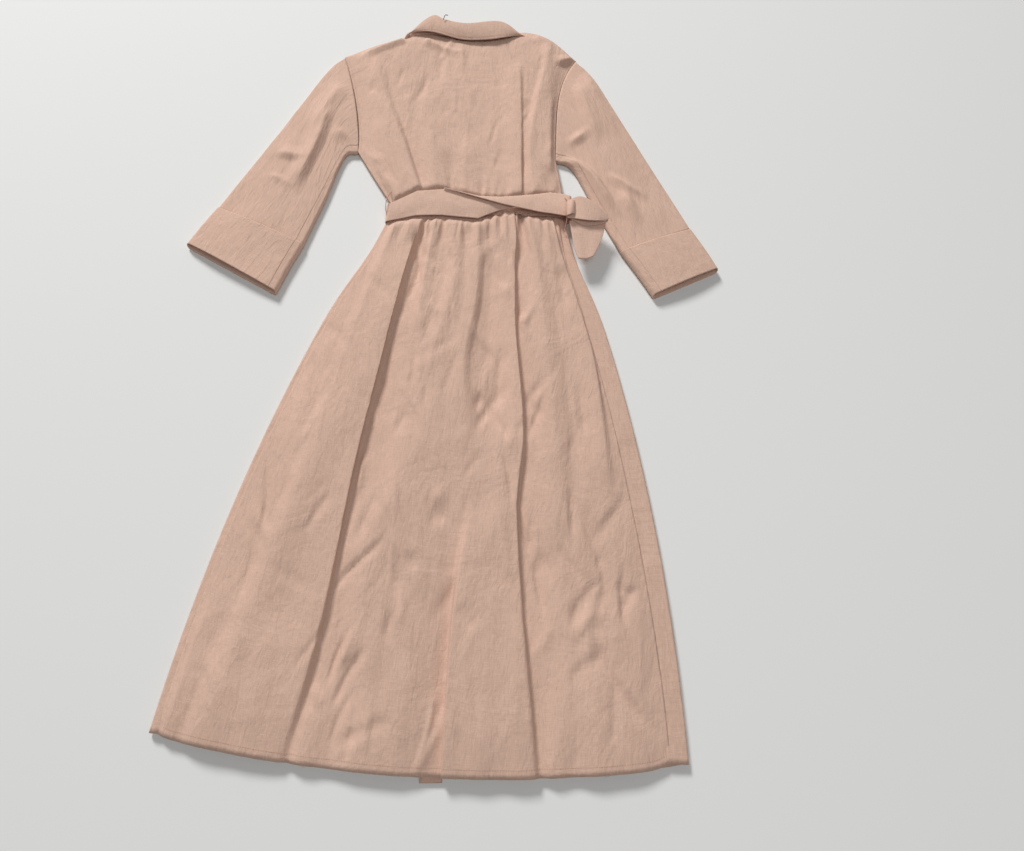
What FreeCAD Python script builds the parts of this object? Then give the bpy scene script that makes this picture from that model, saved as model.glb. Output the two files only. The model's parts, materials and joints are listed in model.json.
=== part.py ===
import FreeCAD, Part
import math
import os

import Sketcher

# A belted shirt dress, laid out flat on its front with the back uppermost.
# +Y runs from hem to collar, +X to the wearer's right, +Z up from the surface it lies on.
# The origin is under the middle of the whole outline. Lengths are millimetres, angles degrees.
# Every cloth panel is a plain plate of one loft thickness; the panels keep a flat space
# between front and back, as deep as the garment stands when it is laid down.

SIZES = [
    # whole garment
    ("dress_length", 1302),  # top of the collar to the end of the front placket
    ("cloth_loft", 5.5),  # thickness of a lying panel with its small waves
    ("body_space", 10),  # clear height between front and back panels
    ("stitch_gap", 0.5),  # room between pieces that move on each other
    ("slip_gap", 0.3),  # room between layers that slide on each other
    # bodice
    ("neck_drop", 52),  # collar top down to the back neckline
    ("neck_half", 92),  # middle of the neck to the shoulder's inner end
    ("neck_radius", 170),
    ("front_neck_drop", 46),  # back neckline down to the front one
    ("collar_to_waist", 430),
    ("waist_width", 296),
    ("waist_shift", 42),  # how far the waist lies to the wearer's right
    # skirt
    ("hem_left", 369),
    ("hem_right", 356),
    ("hem_rise", 34),  # how much higher the hem's corners lie than its middle
    ("hem_radius", 2050),
    ("side_radius", 2900),  # gentle outward bow of the skirt's sides
    ("hem_depth", 12),
    ("facing_loft", 2),
    ("seam_allowance", 10),
    ("flare_at_join", 15),
    # front placket
    ("placket_width", 30),
    ("placket_shift", 14),
    ("placket_loft", 1.8),
    ("placket_drop", 7),  # how far the placket hangs below the hem
    ("button_diameter", 11.5),
    ("button_thickness", 2.3),
    ("button_pitch", 86),  # the belt crosses midway between two buttons
    ("buttons_above_belt", 4),
    ("buttons_below_belt", 9),
    ("shank_diameter", 2),
    ("hole_slack", 2),  # buttonhole length over the button's diameter
    ("hole_width", 3),
    # sleeves, set in on a round armhole
    ("swing_x", 288),  # centre of the sleeve cap's round
    ("swing_drop", 227),  # collar top down to that centre
    ("cap_radius", 145),
    ("cap_top_angle", 126),
    ("cap_bottom_angle", 218),
    ("cap_edge_angle", 5),  # share of the cap's round that its seam allowances take
    ("sleeve_height", 18),
    ("sleeve_wall", 3.5),
    ("seam_x", 401),  # outer end of the cuff's seam
    ("seam_drop", 443),
    ("seam_slope", 22),
    ("left_seam_spread", 165),
    ("right_seam_spread", 127),
    ("cuff_x", 441),  # outer corner of the cuff
    ("cuff_drop", 515),
    ("cuff_slope", 27),
    ("left_cuff_spread", 178),
    ("right_cuff_spread", 120),
    # collar
    ("stand_height", 40),
    ("stand_half", 86),
    ("stand_wall", 3),
    ("fall_depth", 50),
    ("fall_half", 118),
    ("fall_roll_half", 62),  # half of the straight stretch of the roll line
    ("fall_end_drop", 34),
    ("fall_loft", 3),
    ("leaf_width", 74),
    ("leaf_length", 66),
    ("label_width", 38),
    ("label_height", 22),
    ("care_width", 20),
    ("care_length", 46),
    # belt
    ("belt_width", 49),
    ("belt_loft", 2.7),
    ("belt_travel", 4),  # slack of the belt up and down in its loops
    ("join_gap", 3),
    ("loop_thread", 1.5),
    ("loop_reach", 3.4),  # how far a loop stands out past the belt
    ("knot_size", 15),
    ("bow_length", 52),
    ("bow_width", 44),
    ("bow_height", 17),
    ("tail_length", 66),
    ("tail_width", 34),
]


class Size:
    """A length or angle that carries its number and the sheet expression that gives it."""

    def __init__(self, value, text):
        self.value = float(value)
        self.text = text

    def join(self, sign, other, value):
        return Size(value, f"({self.text} {sign} {as_size(other).text})")

    def __add__(self, other):
        return self.join("+", other, self.value + as_size(other).value)

    def __sub__(self, other):
        return self.join("-", other, self.value - as_size(other).value)

    def __mul__(self, other):
        return self.join("*", other, self.value * as_size(other).value)

    def __truediv__(self, other):
        return self.join("/", other, self.value / as_size(other).value)

    def __rmul__(self, other):
        return self * other

    def __neg__(self):
        return self * -1


def as_size(number):
    return number if isinstance(number, Size) else Size(number, repr(float(number)))


def cosine(angle):
    return Size(math.cos(math.radians(angle.value)), f"cos({angle.text})")


def sine(angle):
    return Size(math.sin(math.radians(angle.value)), f"sin({angle.text})")


doc = FreeCAD.newDocument("Dress")
sheet = doc.addObject("Spreadsheet::Sheet", "Sizes")
for row, (alias, number) in enumerate(SIZES, start=1):
    sheet.set(f"A{row}", alias)
    sheet.set(f"B{row}", str(number))
    sheet.setAlias(f"B{row}", alias)
doc.recompute()


class Sheet:
    """Gives each alias of the sheet as a Size."""

    def __getattr__(self, alias):
        return Size(sheet.get(alias), f"Sizes.{alias}")


s = Sheet()
ZERO = Size(0, "0.0")
nodes = []

# ---------------------------------------------------------------- levels and edges

top = s.dress_length / 2
neck_y = top - s.neck_drop
waist_y = top - s.collar_to_waist
hem_y = -top + s.placket_drop
hem_corner_y = hem_y + s.hem_rise
join_y = waist_y - s.belt_width / 2 - s.belt_travel - s.join_gap
waist_top_y = waist_y + s.belt_width / 2 + s.belt_travel + s.join_gap

front_top = s.cloth_loft
back_bottom = front_top + s.body_space
back_top = back_bottom + s.cloth_loft
bodice_front_bottom = s.belt_loft + s.slip_gap
bodice_front_top = bodice_front_bottom + s.cloth_loft

swing_y = top - s.swing_drop
armhole_radius = s.cap_radius + s.stitch_gap

placket_left = s.placket_shift - s.placket_width / 2
placket_right = s.placket_shift + s.placket_width / 2
outer_placket_z = s.belt_loft + s.slip_gap
inner_placket_z = outer_placket_z + s.placket_loft + s.slip_gap

LEFT, RIGHT = -1, 1
NAME = {LEFT: "left", RIGHT: "right"}


def waist_x(side):
    return s.waist_shift + s.waist_width / 2 * side


def join_x(side):
    return waist_x(side) + s.flare_at_join * side


def hem_x(side):
    return s.hem_right if side == RIGHT else -s.hem_left


def cap_point(side, radius, angle):
    """A point on the round of a sleeve cap or armhole."""
    return (s.swing_x + radius * cosine(angle)) * side, swing_y + radius * sine(angle)


def shoulder(side):
    return cap_point(side, armhole_radius, s.cap_top_angle)


def underarm(side):
    return cap_point(side, armhole_radius, s.cap_bottom_angle)


def spread(side, which):
    return {
        (LEFT, "seam"): s.left_seam_spread,
        (RIGHT, "seam"): s.right_seam_spread,
        (LEFT, "cuff"): s.left_cuff_spread,
        (RIGHT, "cuff"): s.right_cuff_spread,
    }[side, which]


def sleeve_end(side):
    """Outer and inner end of the seam between sleeve and cuff."""
    outer = (s.seam_x * side, top - s.seam_drop)
    width = spread(side, "seam")
    inner = ((s.seam_x - width * cosine(s.seam_slope)) * side, outer[1] - width * sine(s.seam_slope))
    return outer, inner


def cuff_end(side):
    """Outer and inner corner of the cuff's open edge."""
    outer = (s.cuff_x * side, top - s.cuff_drop)
    width = spread(side, "cuff")
    inner = ((s.cuff_x - width * cosine(s.cuff_slope)) * side, outer[1] - width * sine(s.cuff_slope))
    return outer, inner


# ---------------------------------------------------------------- sketch and body helpers


def turned(side, corners):
    """Corners listed anticlockwise for the right side, put in order for either side."""
    if side == RIGHT:
        return corners
    points = [(x, y) for x, y, bend in corners][::-1]
    bends = [bend for x, y, bend in corners]
    bends = bends[:-1][::-1] + bends[-1:]
    return [(x, y, bend) for (x, y), bend in zip(points, bends)]


def arc_centre(start, end, bend):
    """Centre of the arc from start to end; a positive bend has it on the left of the way."""
    middle = (start + end) * 0.5
    half = (end - start) * 0.5
    rise = math.sqrt(bend.value**2 - half.Length**2)
    left = FreeCAD.Vector(-half.y, half.x, 0).normalize()
    return middle + left * math.copysign(rise, bend.value)


def add_edge(sketch, start, end, bend):
    """Adds a line or an arc and returns its index with the numbers of its two ends."""
    if bend is None:
        return sketch.addGeometry(Part.LineSegment(start, end)), 1, 2
    centre = arc_centre(start, end, bend)
    circle = Part.Circle(centre, FreeCAD.Vector(0, 0, 1), abs(bend.value))
    first, last = (start, end) if bend.value > 0 else (end, start)
    angles = [math.atan2(p.y - centre.y, p.x - centre.x) for p in (first, last)]
    index = sketch.addGeometry(Part.ArcOfCircle(circle, angles[0], angles[1]))
    return (index, 1, 2) if bend.value > 0 else (index, 2, 1)


def bind(sketch, kind, *place_and_size):
    *place, size = place_and_size
    index = sketch.addConstraint(Sketcher.Constraint(kind, *place, size.value))
    sketch.setExpression(f"Constraints[{index}]", size.text)


def draw_outline(sketch, corners):
    """Draws a closed outline; each corner is x, y and the radius of the edge after it."""
    points = [FreeCAD.Vector(x.value, y.value, 0) for x, y, bend in corners]
    edges = []
    for number, (x, y, bend) in enumerate(corners):
        following = points[(number + 1) % len(points)]
        edges.append(add_edge(sketch, points[number], following, bend))
    for number, (x, y, bend) in enumerate(corners):
        index, start, end = edges[number]
        before = edges[number - 1]
        sketch.addConstraint(Sketcher.Constraint("Coincident", before[0], before[2], index, start))
        bind(sketch, "DistanceX", index, start, x)
        bind(sketch, "DistanceY", index, start, y)
        if bend is not None:
            bind(sketch, "Radius", index, Size(abs(bend.value), f"abs({bend.text})"))


def new_body(name):
    body = doc.addObject("PartDesign::Body", name)
    body.Label = name
    nodes.append(body)
    return body


def new_sketch(body, name, height):
    """A sketch on the body's own horizontal plane, raised to a height."""
    plane = [f for f in body.Origin.OriginFeatures if f.Role == "XY_Plane"][0]
    sketch = body.newObject("Sketcher::SketchObject", name)
    sketch.AttachmentSupport = (plane, "")
    sketch.MapMode = "FlatFace"
    sketch.setExpression("AttachmentOffset.Base.z", height.text)
    return sketch


def pad(body, name, corners, bottom, loft):
    sketch = new_sketch(body, f"{name}_outline", bottom)
    draw_outline(sketch, corners)
    feature = body.newObject("PartDesign::Pad", f"{name}_pad")
    feature.Profile = sketch
    feature.setExpression("Length", loft.text)
    doc.recompute()
    return feature


def pocket(body, name, corners, bottom, depth):
    """Cuts upwards from a height, so a hollow can lie closed above and below."""
    volume = body.Shape.Volume
    sketch = new_sketch(body, f"{name}_outline", bottom)
    draw_outline(sketch, corners)
    feature = body.newObject("PartDesign::Pocket", f"{name}_pocket")
    feature.Profile = sketch
    feature.setExpression("Length", depth.text)
    feature.Reversed = True
    doc.recompute()
    if body.Shape.Volume > volume - 1:
        raise RuntimeError(f"{name} cuts nothing")
    return feature


def panel(name, corners, bottom, loft):
    body = new_body(name)
    pad(body, name, corners, bottom, loft)
    return body


def rectangle(left, right, low, high):
    return [(left, low, None), (right, low, None), (right, high, None), (left, high, None)]


# ---------------------------------------------------------------- bodice and skirt


def back_bodice():
    left_shoulder, right_shoulder = shoulder(LEFT), shoulder(RIGHT)
    left_arm, right_arm = underarm(LEFT), underarm(RIGHT)
    corners = [
        (waist_x(LEFT), waist_y, None),
        (waist_x(RIGHT), waist_y, None),
        (waist_x(RIGHT), waist_top_y, None),
        (*right_arm, -armhole_radius),
        (*right_shoulder, None),
        (s.neck_half, neck_y, -s.neck_radius),
        (-s.neck_half, neck_y, None),
        (*left_shoulder, -armhole_radius),
        (*left_arm, None),
        (waist_x(LEFT), waist_top_y, None),
    ]
    panel("back_bodice", corners, back_bottom, s.cloth_loft)


def front_bodice(side):
    inner = placket_right if side == RIGHT else placket_left
    corners = [
        (inner, join_y, None),
        (join_x(side), join_y, None),
        (waist_x(side), waist_y, None),
        (waist_x(side), waist_top_y, None),
        (*underarm(side), -armhole_radius),
        (*shoulder(side), None),
        (s.neck_half * side, neck_y, -s.neck_radius),
        (inner, neck_y - s.front_neck_drop, None),
    ]
    name = f"{NAME[side]}_front_bodice"
    panel(name, turned(side, corners), bodice_front_bottom, s.cloth_loft)


def back_skirt():
    corners = [
        (waist_x(LEFT), waist_y, s.side_radius),
        (hem_x(LEFT), hem_corner_y, s.hem_radius),
        (hem_x(RIGHT), hem_corner_y, s.side_radius),
        (waist_x(RIGHT), waist_y, None),
    ]
    panel("back_skirt", corners, back_bottom, s.cloth_loft)


def front_skirt(side):
    inner = placket_right if side == RIGHT else placket_left
    corners = [
        (inner, hem_y, s.hem_radius),
        (hem_x(side), hem_corner_y, s.side_radius),
        (join_x(side), join_y, None),
        (inner, join_y, None),
    ]
    panel(f"{NAME[side]}_front_skirt", turned(side, corners), ZERO, s.cloth_loft)


def side_seam(side):
    """The seam allowances inside a side of the skirt, which hold front and back together."""
    inset = s.seam_allowance * side
    corners = [
        (hem_x(side) - inset, hem_corner_y, None),
        (hem_x(side), hem_corner_y, s.side_radius),
        (join_x(side), join_y, None),
        (join_x(side) - inset, join_y, -s.side_radius),
    ]
    panel(f"{NAME[side]}_skirt_seam", turned(side, corners), front_top, s.body_space)


def bodice_seam(side):
    inset = s.seam_allowance * side
    arm = underarm(side)
    corners = [
        (waist_x(side) - inset, waist_y, None),
        (waist_x(side), waist_y, None),
        (waist_x(side), waist_top_y, None),
        (*arm, None),
        (arm[0] - inset, arm[1], None),
        (waist_x(side) - inset, waist_top_y, None),
    ]
    depth = back_bottom - bodice_front_top
    panel(f"{NAME[side]}_bodice_seam", turned(side, corners), bodice_front_top, depth)


def shoulder_seam(side):
    outer = shoulder(side)
    corners = [
        (outer[0] - s.seam_allowance * 1.5 * side, outer[1] - s.seam_allowance / 3, None),
        (*outer, None),
        (s.neck_half * side, neck_y, None),
        (s.neck_half * side, neck_y - s.seam_allowance, None),
    ]
    depth = back_bottom - bodice_front_top
    panel(f"{NAME[side]}_shoulder_seam", turned(side, corners), bodice_front_top, depth)


def back_hem():
    """The hem turned up inside the back skirt."""
    inset = s.seam_allowance + s.hem_depth / 2
    left, right = hem_x(LEFT) + inset, hem_x(RIGHT) - inset
    lift = hem_corner_y + s.slip_gap
    corners = [
        (left, lift, s.hem_radius),
        (right, lift, None),
        (right, lift + s.hem_depth, -s.hem_radius),
        (left, lift + s.hem_depth, None),
    ]
    panel("back_hem", corners, back_bottom - s.facing_loft, s.facing_loft)


def front_hem(side):
    """The hem turned up inside a front skirt panel, from the placket to the side seam."""
    inner = placket_right + s.stitch_gap if side == RIGHT else placket_left - s.stitch_gap
    outer = hem_x(side) - (s.seam_allowance + s.hem_depth / 2) * side
    lift = hem_y + s.hem_rise / 4
    corners = [
        (inner, lift, s.hem_radius),
        (outer, hem_corner_y, None),
        (outer, hem_corner_y + s.hem_depth, -s.hem_radius),
        (inner, lift + s.hem_depth, None),
    ]
    panel(f"{NAME[side]}_front_hem", turned(side, corners), front_top, s.facing_loft)


def waist_stay():
    """The tape stitched inside the waist, which holds the gathers of the back skirt."""
    inset = s.seam_allowance + s.stitch_gap
    corners = rectangle(
        waist_x(LEFT) + inset,
        waist_x(RIGHT) - inset,
        waist_y - s.hem_depth / 2,
        waist_y + s.hem_depth / 2,
    )
    panel("waist_stay", corners, back_bottom - s.facing_loft, s.facing_loft)


# ---------------------------------------------------------------- front placket and buttons

button_count = s.buttons_above_belt + s.buttons_below_belt
top_button_y = waist_y + s.button_pitch * (s.buttons_above_belt - 0.5)


def placket(name, bottom):
    """One of the two bands that button over each other down the front."""
    neck = neck_y - s.front_neck_drop
    return panel(name, rectangle(placket_left, placket_right, -top, neck), bottom, s.placket_loft)


def buttonhole_placket():
    body = placket("buttonhole_placket", outer_placket_z)
    half_length = (s.button_diameter + s.hole_slack) / 2
    half_width = s.hole_width / 2
    slot = rectangle(
        s.placket_shift - half_width,
        s.placket_shift + half_width,
        top_button_y - half_length,
        top_button_y + half_length,
    )
    cut = pocket(body, "buttonhole", slot, outer_placket_z, s.placket_loft)
    front_line = [f for f in body.Origin.OriginFeatures if f.Role == "Y_Axis"][0]
    row = body.newObject("PartDesign::LinearPattern", "buttonhole_row")
    row.Originals = [cut]
    row.Direction = (front_line, [""])
    row.Reversed = True
    row.setExpression("Length", (s.button_pitch * (button_count - 1)).text)
    row.setExpression("Occurrences", button_count.text)
    body.Tip = row
    doc.recompute()


def button_solids(name, diameter, bottom, height):
    """A node that holds one round solid for each button down the front."""
    rounds = []
    for number in range(int(button_count.value)):
        piece = doc.addObject("Part::Cylinder", f"{name}_{number}")
        piece.setExpression("Radius", (diameter / 2).text)
        piece.setExpression("Height", height.text)
        piece.setExpression("Placement.Base.x", s.placket_shift.text)
        piece.setExpression("Placement.Base.y", (top_button_y - s.button_pitch * number).text)
        piece.setExpression("Placement.Base.z", bottom.text)
        rounds.append(piece)
    group = doc.addObject("Part::Compound", name)
    group.Label = name
    group.Links = rounds
    nodes.append(group)


# ---------------------------------------------------------------- collar


def collar_stand():
    """The upright band around the neck, lying flat: a back layer, a front layer and two folds.

    Its lower edge also fills the rounds of the back and the front neckline.
    """
    body = new_body("collar_stand")
    floor = bodice_front_bottom
    corners = rectangle(-s.stand_half, s.stand_half, neck_y, neck_y + s.stand_height)
    pad(body, "collar_stand", corners, floor, back_top - floor)
    inner = s.stand_half - s.stand_wall
    hollow = rectangle(-inner, inner, neck_y - s.stand_wall, neck_y + s.stand_height + s.stand_wall)
    pocket(body, "neck", hollow, floor + s.stand_wall, back_top - floor - s.stand_wall * 2)
    back_round = [(-s.neck_half, neck_y, s.neck_radius), (s.neck_half, neck_y, None)]
    pad(body, "back_round", back_round, back_top - s.stand_wall, s.stand_wall)
    front_neck_y = neck_y - s.front_neck_drop
    front_round = [
        (-s.neck_half, neck_y, s.neck_radius),
        (placket_left, front_neck_y, None),
        (placket_right, front_neck_y, s.neck_radius),
        (s.neck_half, neck_y, None),
    ]
    pad(body, "front_round", front_round, floor, s.stand_wall)


def collar_fall():
    """The back of the turned-down collar, lying on the bodice behind its roll line."""
    roll_y = top
    end_y = roll_y - s.fall_end_drop
    bottom = back_top + s.slip_gap
    corners = [
        (-s.fall_half, end_y - s.fall_depth / 4, s.fall_half * 3),
        (s.fall_half, end_y - s.fall_depth / 4, None),
        (s.fall_half, end_y, None),
        (s.fall_roll_half, roll_y, None),
        (-s.fall_roll_half, roll_y, None),
        (-s.fall_half, end_y, None),
    ]
    panel("collar_fall", corners, bottom, s.fall_loft)


def collar_leaf(side):
    """The front point of the collar, which lies under the front bodice."""
    inner = placket_right if side == RIGHT else placket_left
    neck = neck_y - s.front_neck_drop
    gap = s.join_gap * side
    corners = [
        (inner + gap, neck - s.leaf_length / 2, None),
        (inner + gap + s.leaf_width / 2 * side, neck - s.leaf_length, None),
        (inner + gap + s.leaf_width * side, neck - s.leaf_length / 4, None),
        (inner + gap + s.leaf_width * side * 0.8, neck, None),
        (inner + gap, neck, None),
    ]
    panel(f"{NAME[side]}_collar_leaf", turned(side, corners), ZERO, bodice_front_bottom)


def labels():
    """The woven label at the back of the neck and the care label in the left side seam."""
    label_top = neck_y - s.neck_half * s.neck_half / s.neck_radius / 2 - s.join_gap
    half = s.label_width / 2
    corners = rectangle(-half, half, label_top - s.label_height, label_top)
    panel("neck_label", corners, back_bottom - s.slip_gap * 2, s.slip_gap * 2)
    inner = waist_x(LEFT) + s.seam_allowance + s.stitch_gap
    level = waist_y + s.belt_width / 2
    corners = rectangle(inner, inner + s.care_width, level, level + s.care_length)
    panel("care_label", corners, back_bottom - s.slip_gap * 2, s.slip_gap * 2)


# ---------------------------------------------------------------- sleeves and cuffs


def sleeve(side):
    """A flattened tube from the round of the armhole to the cuff's seam."""
    name = f"{NAME[side]}_sleeve"
    outer, inner = sleeve_end(side)
    body = new_body(name)
    corners = [
        (*cap_point(side, s.cap_radius, s.cap_bottom_angle), None),
        (*inner, None),
        (*outer, None),
        (*cap_point(side, s.cap_radius, s.cap_top_angle), s.cap_radius),
    ]
    pad(body, name, turned(side, corners), ZERO, s.sleeve_height)
    wall = s.sleeve_wall * 2
    past = s.cap_radius + wall
    low = cap_point(side, past, s.cap_bottom_angle - s.cap_edge_angle)
    high = cap_point(side, past, s.cap_top_angle + s.cap_edge_angle)
    drop = wall * 2
    corners = [
        (*low, None),
        (inner[0] + wall * side, inner[1] + wall / 2, None),
        (inner[0] + (wall + drop) * side, inner[1] - drop, None),
        (outer[0], outer[1] - drop, None),
        (outer[0] - wall * side, outer[1], None),
        (*high, past),
    ]
    pocket(body, f"{name}_arm", turned(side, corners), s.sleeve_wall, s.sleeve_height - s.sleeve_wall * 2)


def cuff(side):
    """The deep plain cuff, a flattened ring open at both ends."""
    name = f"{NAME[side]}_cuff"
    seam_outer, seam_inner = sleeve_end(side)
    outer, inner = cuff_end(side)
    body = new_body(name)
    corners = [
        (*seam_inner, None),
        (*inner, None),
        (*outer, None),
        (*seam_outer, None),
    ]
    pad(body, name, turned(side, corners), ZERO, s.sleeve_height)
    wall = s.sleeve_wall * 2
    corners = [
        (seam_inner[0] + (wall / 2) * side, seam_inner[1] + wall, None),
        (inner[0] + (wall * 2) * side, inner[1] - wall, None),
        (outer[0] - (wall / 4) * side, outer[1] - wall, None),
        (seam_outer[0] - (wall * 2) * side, seam_outer[1] + wall, None),
    ]
    height = s.sleeve_height - s.sleeve_wall * 2
    pocket(body, f"{name}_mouth", turned(side, corners), s.sleeve_wall, height)


# ---------------------------------------------------------------- belt, loops and bow

belt_bottom = waist_y - s.belt_width / 2
belt_back_z = back_top + s.slip_gap
belt_left = join_x(LEFT) - s.stitch_gap - s.belt_loft
belt_right = join_x(RIGHT) + s.stitch_gap + s.belt_loft


def plain_box(name, left, right, low, high, bottom, height):
    box = doc.addObject("Part::Box", name)
    box.setExpression("Length", (right - left).text)
    box.setExpression("Width", (high - low).text)
    box.setExpression("Height", height.text)
    box.setExpression("Placement.Base.x", left.text)
    box.setExpression("Placement.Base.y", low.text)
    box.setExpression("Placement.Base.z", bottom.text)
    return box


def ring(name, outside, inside):
    """A box with a box cut out of it, as a node of its own."""
    cut = doc.addObject("Part::Cut", name)
    cut.Label = name
    cut.Base = plain_box(f"{name}_outside", *outside)
    cut.Tool = plain_box(f"{name}_inside", *inside)
    nodes.append(cut)


def belt():
    """The belt, round the waist outside everything."""
    height = belt_back_z + s.belt_loft
    high = belt_bottom + s.belt_width
    outside = (belt_left, belt_right, belt_bottom, high, ZERO, height)
    inside = (
        belt_left + s.belt_loft,
        belt_right - s.belt_loft,
        belt_bottom - s.belt_loft,
        high + s.belt_loft,
        s.belt_loft,
        height - s.belt_loft * 2,
    )
    ring("belt", outside, inside)


def belt_loop(side):
    """A thread loop at the side seam, longer than the belt is wide."""
    reach = s.stitch_gap * 2 + s.belt_loft + s.loop_reach
    clear = waist_y - join_y - s.loop_thread
    near = waist_x(side)
    far = join_x(side) + reach * side
    middle = (bodice_front_top + back_bottom) / 2
    left, right = (near, far) if side == RIGHT else (far, near)
    outside = (left, right, waist_y - clear - s.loop_thread, waist_y + clear + s.loop_thread)
    cut = s.loop_thread * side
    inner_left, inner_right = (near - cut, far - cut) if side == RIGHT else (far - cut, near - cut)
    inside = (inner_left, inner_right, waist_y - clear, waist_y + clear)
    span = (middle, s.loop_thread)
    deep = (middle - s.loop_thread, s.loop_thread * 3)
    ring(f"{NAME[side]}_belt_loop", (*outside, *span), (*inside, *deep))


def belt_bow():
    """The knot, the loop of the half bow and the hanging pointed tail."""
    bottom = belt_back_z + s.belt_loft + s.slip_gap
    body = new_body("belt_bow")
    knot_x = waist_x(RIGHT)
    knot = rectangle(knot_x, knot_x + s.knot_size, waist_y - s.bow_width / 2, waist_y + s.bow_width / 2)
    pad(body, "knot", knot, bottom, s.bow_height)
    loop_left = knot_x + s.knot_size
    loop = rectangle(loop_left, loop_left + s.bow_length, waist_y - s.bow_width / 2, waist_y + s.bow_width / 2)
    pad(body, "bow_loop", loop, bottom, s.bow_height)
    hollow = rectangle(
        loop_left,
        loop_left + s.bow_length - s.belt_loft,
        waist_y - s.bow_width,
        waist_y + s.bow_width,
    )
    pocket(body, "bow_gap", hollow, bottom + s.belt_loft, s.bow_height - s.belt_loft * 2)
    low = waist_y - s.bow_width / 2
    tail = [
        (knot_x, low, None),
        (knot_x + s.tail_width / 4, low - s.tail_length + s.tail_width, None),
        (knot_x + s.tail_width, low - s.tail_length, None),
        (knot_x + s.tail_width * 1.3, low - s.tail_length + s.tail_width, None),
        (knot_x + s.tail_width, low, None),
    ]
    pad(body, "tail", tail, bottom, s.belt_loft)
    return knot_x + s.knot_size / 2


# ---------------------------------------------------------------- the whole dress

back_bodice()
back_skirt()
waist_stay()
back_hem()
for side in (LEFT, RIGHT):
    front_bodice(side)
    front_skirt(side)
    side_seam(side)
    bodice_seam(side)
    shoulder_seam(side)
    front_hem(side)
    collar_leaf(side)
    sleeve(side)
    cuff(side)
    belt_loop(side)
placket("button_placket", inner_placket_z)
buttonhole_placket()
button_solids("front_buttons", s.button_diameter, ZERO, s.button_thickness)
button_solids("button_shanks", s.shank_diameter, s.button_thickness, inner_placket_z - s.button_thickness)
collar_stand()
collar_fall()
labels()
belt()
pivot_x = belt_bow()

doc.recompute()
for item in doc.Objects:
    if "Invalid" in item.State or "Error" in item.State:
        raise RuntimeError(f"{item.Name} failed: {item.State}")
for node in nodes:
    if node.Shape.isNull() or not node.Shape.isValid():
        raise RuntimeError(f"{node.Label} has no valid shape")

os.makedirs("parts", exist_ok=True)
for node in nodes:
    node.Shape.exportStep(f"parts/{node.Label}.step")
    box = node.Shape.BoundBox
    print(
        f"{node.Label:22s} solids {len(node.Shape.Solids)}"
        f"  x {box.XMin:.1f} {box.XMax:.1f}  y {box.YMin:.1f} {box.YMax:.1f}"
        f"  z {box.ZMin:.1f} {box.ZMax:.1f}"
    )
print(f"sleeve pivots at x +-{s.swing_x.value}, y {swing_y.value}; bow pivot x {pivot_x.value}")
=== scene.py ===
# %% [markdown]
# # A belted linen shirt dress, laid out on its front
# The dress lies with its back uppermost: collar at +Y, hem at -Y, every length in metres.
# It is built panel by panel, as a dressmaker cuts it. Each panel starts as a flat grid and is laid
# over the outline of the working model. Folds are then pressed into it, and each fold is placed by
# its share across and down the panel, so it moves with the panel when a size changes.

# %% Load the frame
import json
import math
import random

import bmesh
import bpy
import numpy as np
from mathutils import Matrix, Vector, noise


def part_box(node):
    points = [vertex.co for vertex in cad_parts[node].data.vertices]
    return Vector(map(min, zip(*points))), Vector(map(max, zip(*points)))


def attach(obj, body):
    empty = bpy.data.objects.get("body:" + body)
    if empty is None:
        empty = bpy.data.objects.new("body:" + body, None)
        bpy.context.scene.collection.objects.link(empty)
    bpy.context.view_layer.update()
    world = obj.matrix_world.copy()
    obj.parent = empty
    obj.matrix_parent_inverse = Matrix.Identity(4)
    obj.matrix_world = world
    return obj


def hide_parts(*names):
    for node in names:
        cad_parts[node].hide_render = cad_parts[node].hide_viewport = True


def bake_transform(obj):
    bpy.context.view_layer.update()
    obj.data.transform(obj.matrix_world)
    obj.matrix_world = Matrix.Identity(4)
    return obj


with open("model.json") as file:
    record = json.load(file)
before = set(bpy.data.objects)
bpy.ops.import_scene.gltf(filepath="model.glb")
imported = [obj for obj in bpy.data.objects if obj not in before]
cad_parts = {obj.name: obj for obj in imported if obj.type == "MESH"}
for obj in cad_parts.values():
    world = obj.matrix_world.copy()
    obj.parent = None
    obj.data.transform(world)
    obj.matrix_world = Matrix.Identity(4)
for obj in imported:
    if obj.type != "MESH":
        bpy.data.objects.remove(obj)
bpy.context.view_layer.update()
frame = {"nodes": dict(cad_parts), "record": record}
bpy.context.scene.view_settings.view_transform = "Standard"

# %% [markdown]
# ## Sizes
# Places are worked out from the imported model: its boxes give levels, and its meshes give outlines
# and corners. Small offsets in millimetres say where cloth bulges or is drawn in, and loft values
# say how high each layer of it lies.

# %% Levels read from the frame
MM = 0.001
belt_low, belt_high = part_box("belt")
skirt_low, skirt_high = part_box("back_skirt")
waist_y = skirt_high.y
hem_y = skirt_low.y
front_loft = 2.0 * MM  # the front panels lie almost flat on the table
side_radius = 3.6 * MM  # roundness of a side where front cloth turns over to the back
back_loft = 11.0 * MM  # the back panels rest on the front ones and on trapped air
cloth_thickness = 0.7 * MM
seam_allowance = 11 * MM
hem_depth = 13 * MM
LEFT, RIGHT = -1, 1
SIDE_NAME = {LEFT: "left", RIGHT: "right"}
BODY = "dress"
print(f"waist {waist_y:.3f}, hem {hem_y:.3f}")


def node_points(node):
    return np.array([v.co for v in frame["nodes"][node].data.vertices])


def tip(node, x_way, y_way):
    """The corner of a node that lies furthest along a direction, seen from above."""
    points = node_points(node)
    best = points[np.argmax(points[:, 0] * x_way + points[:, 1] * y_way)]
    return (float(best[0]), float(best[1]))


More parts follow.
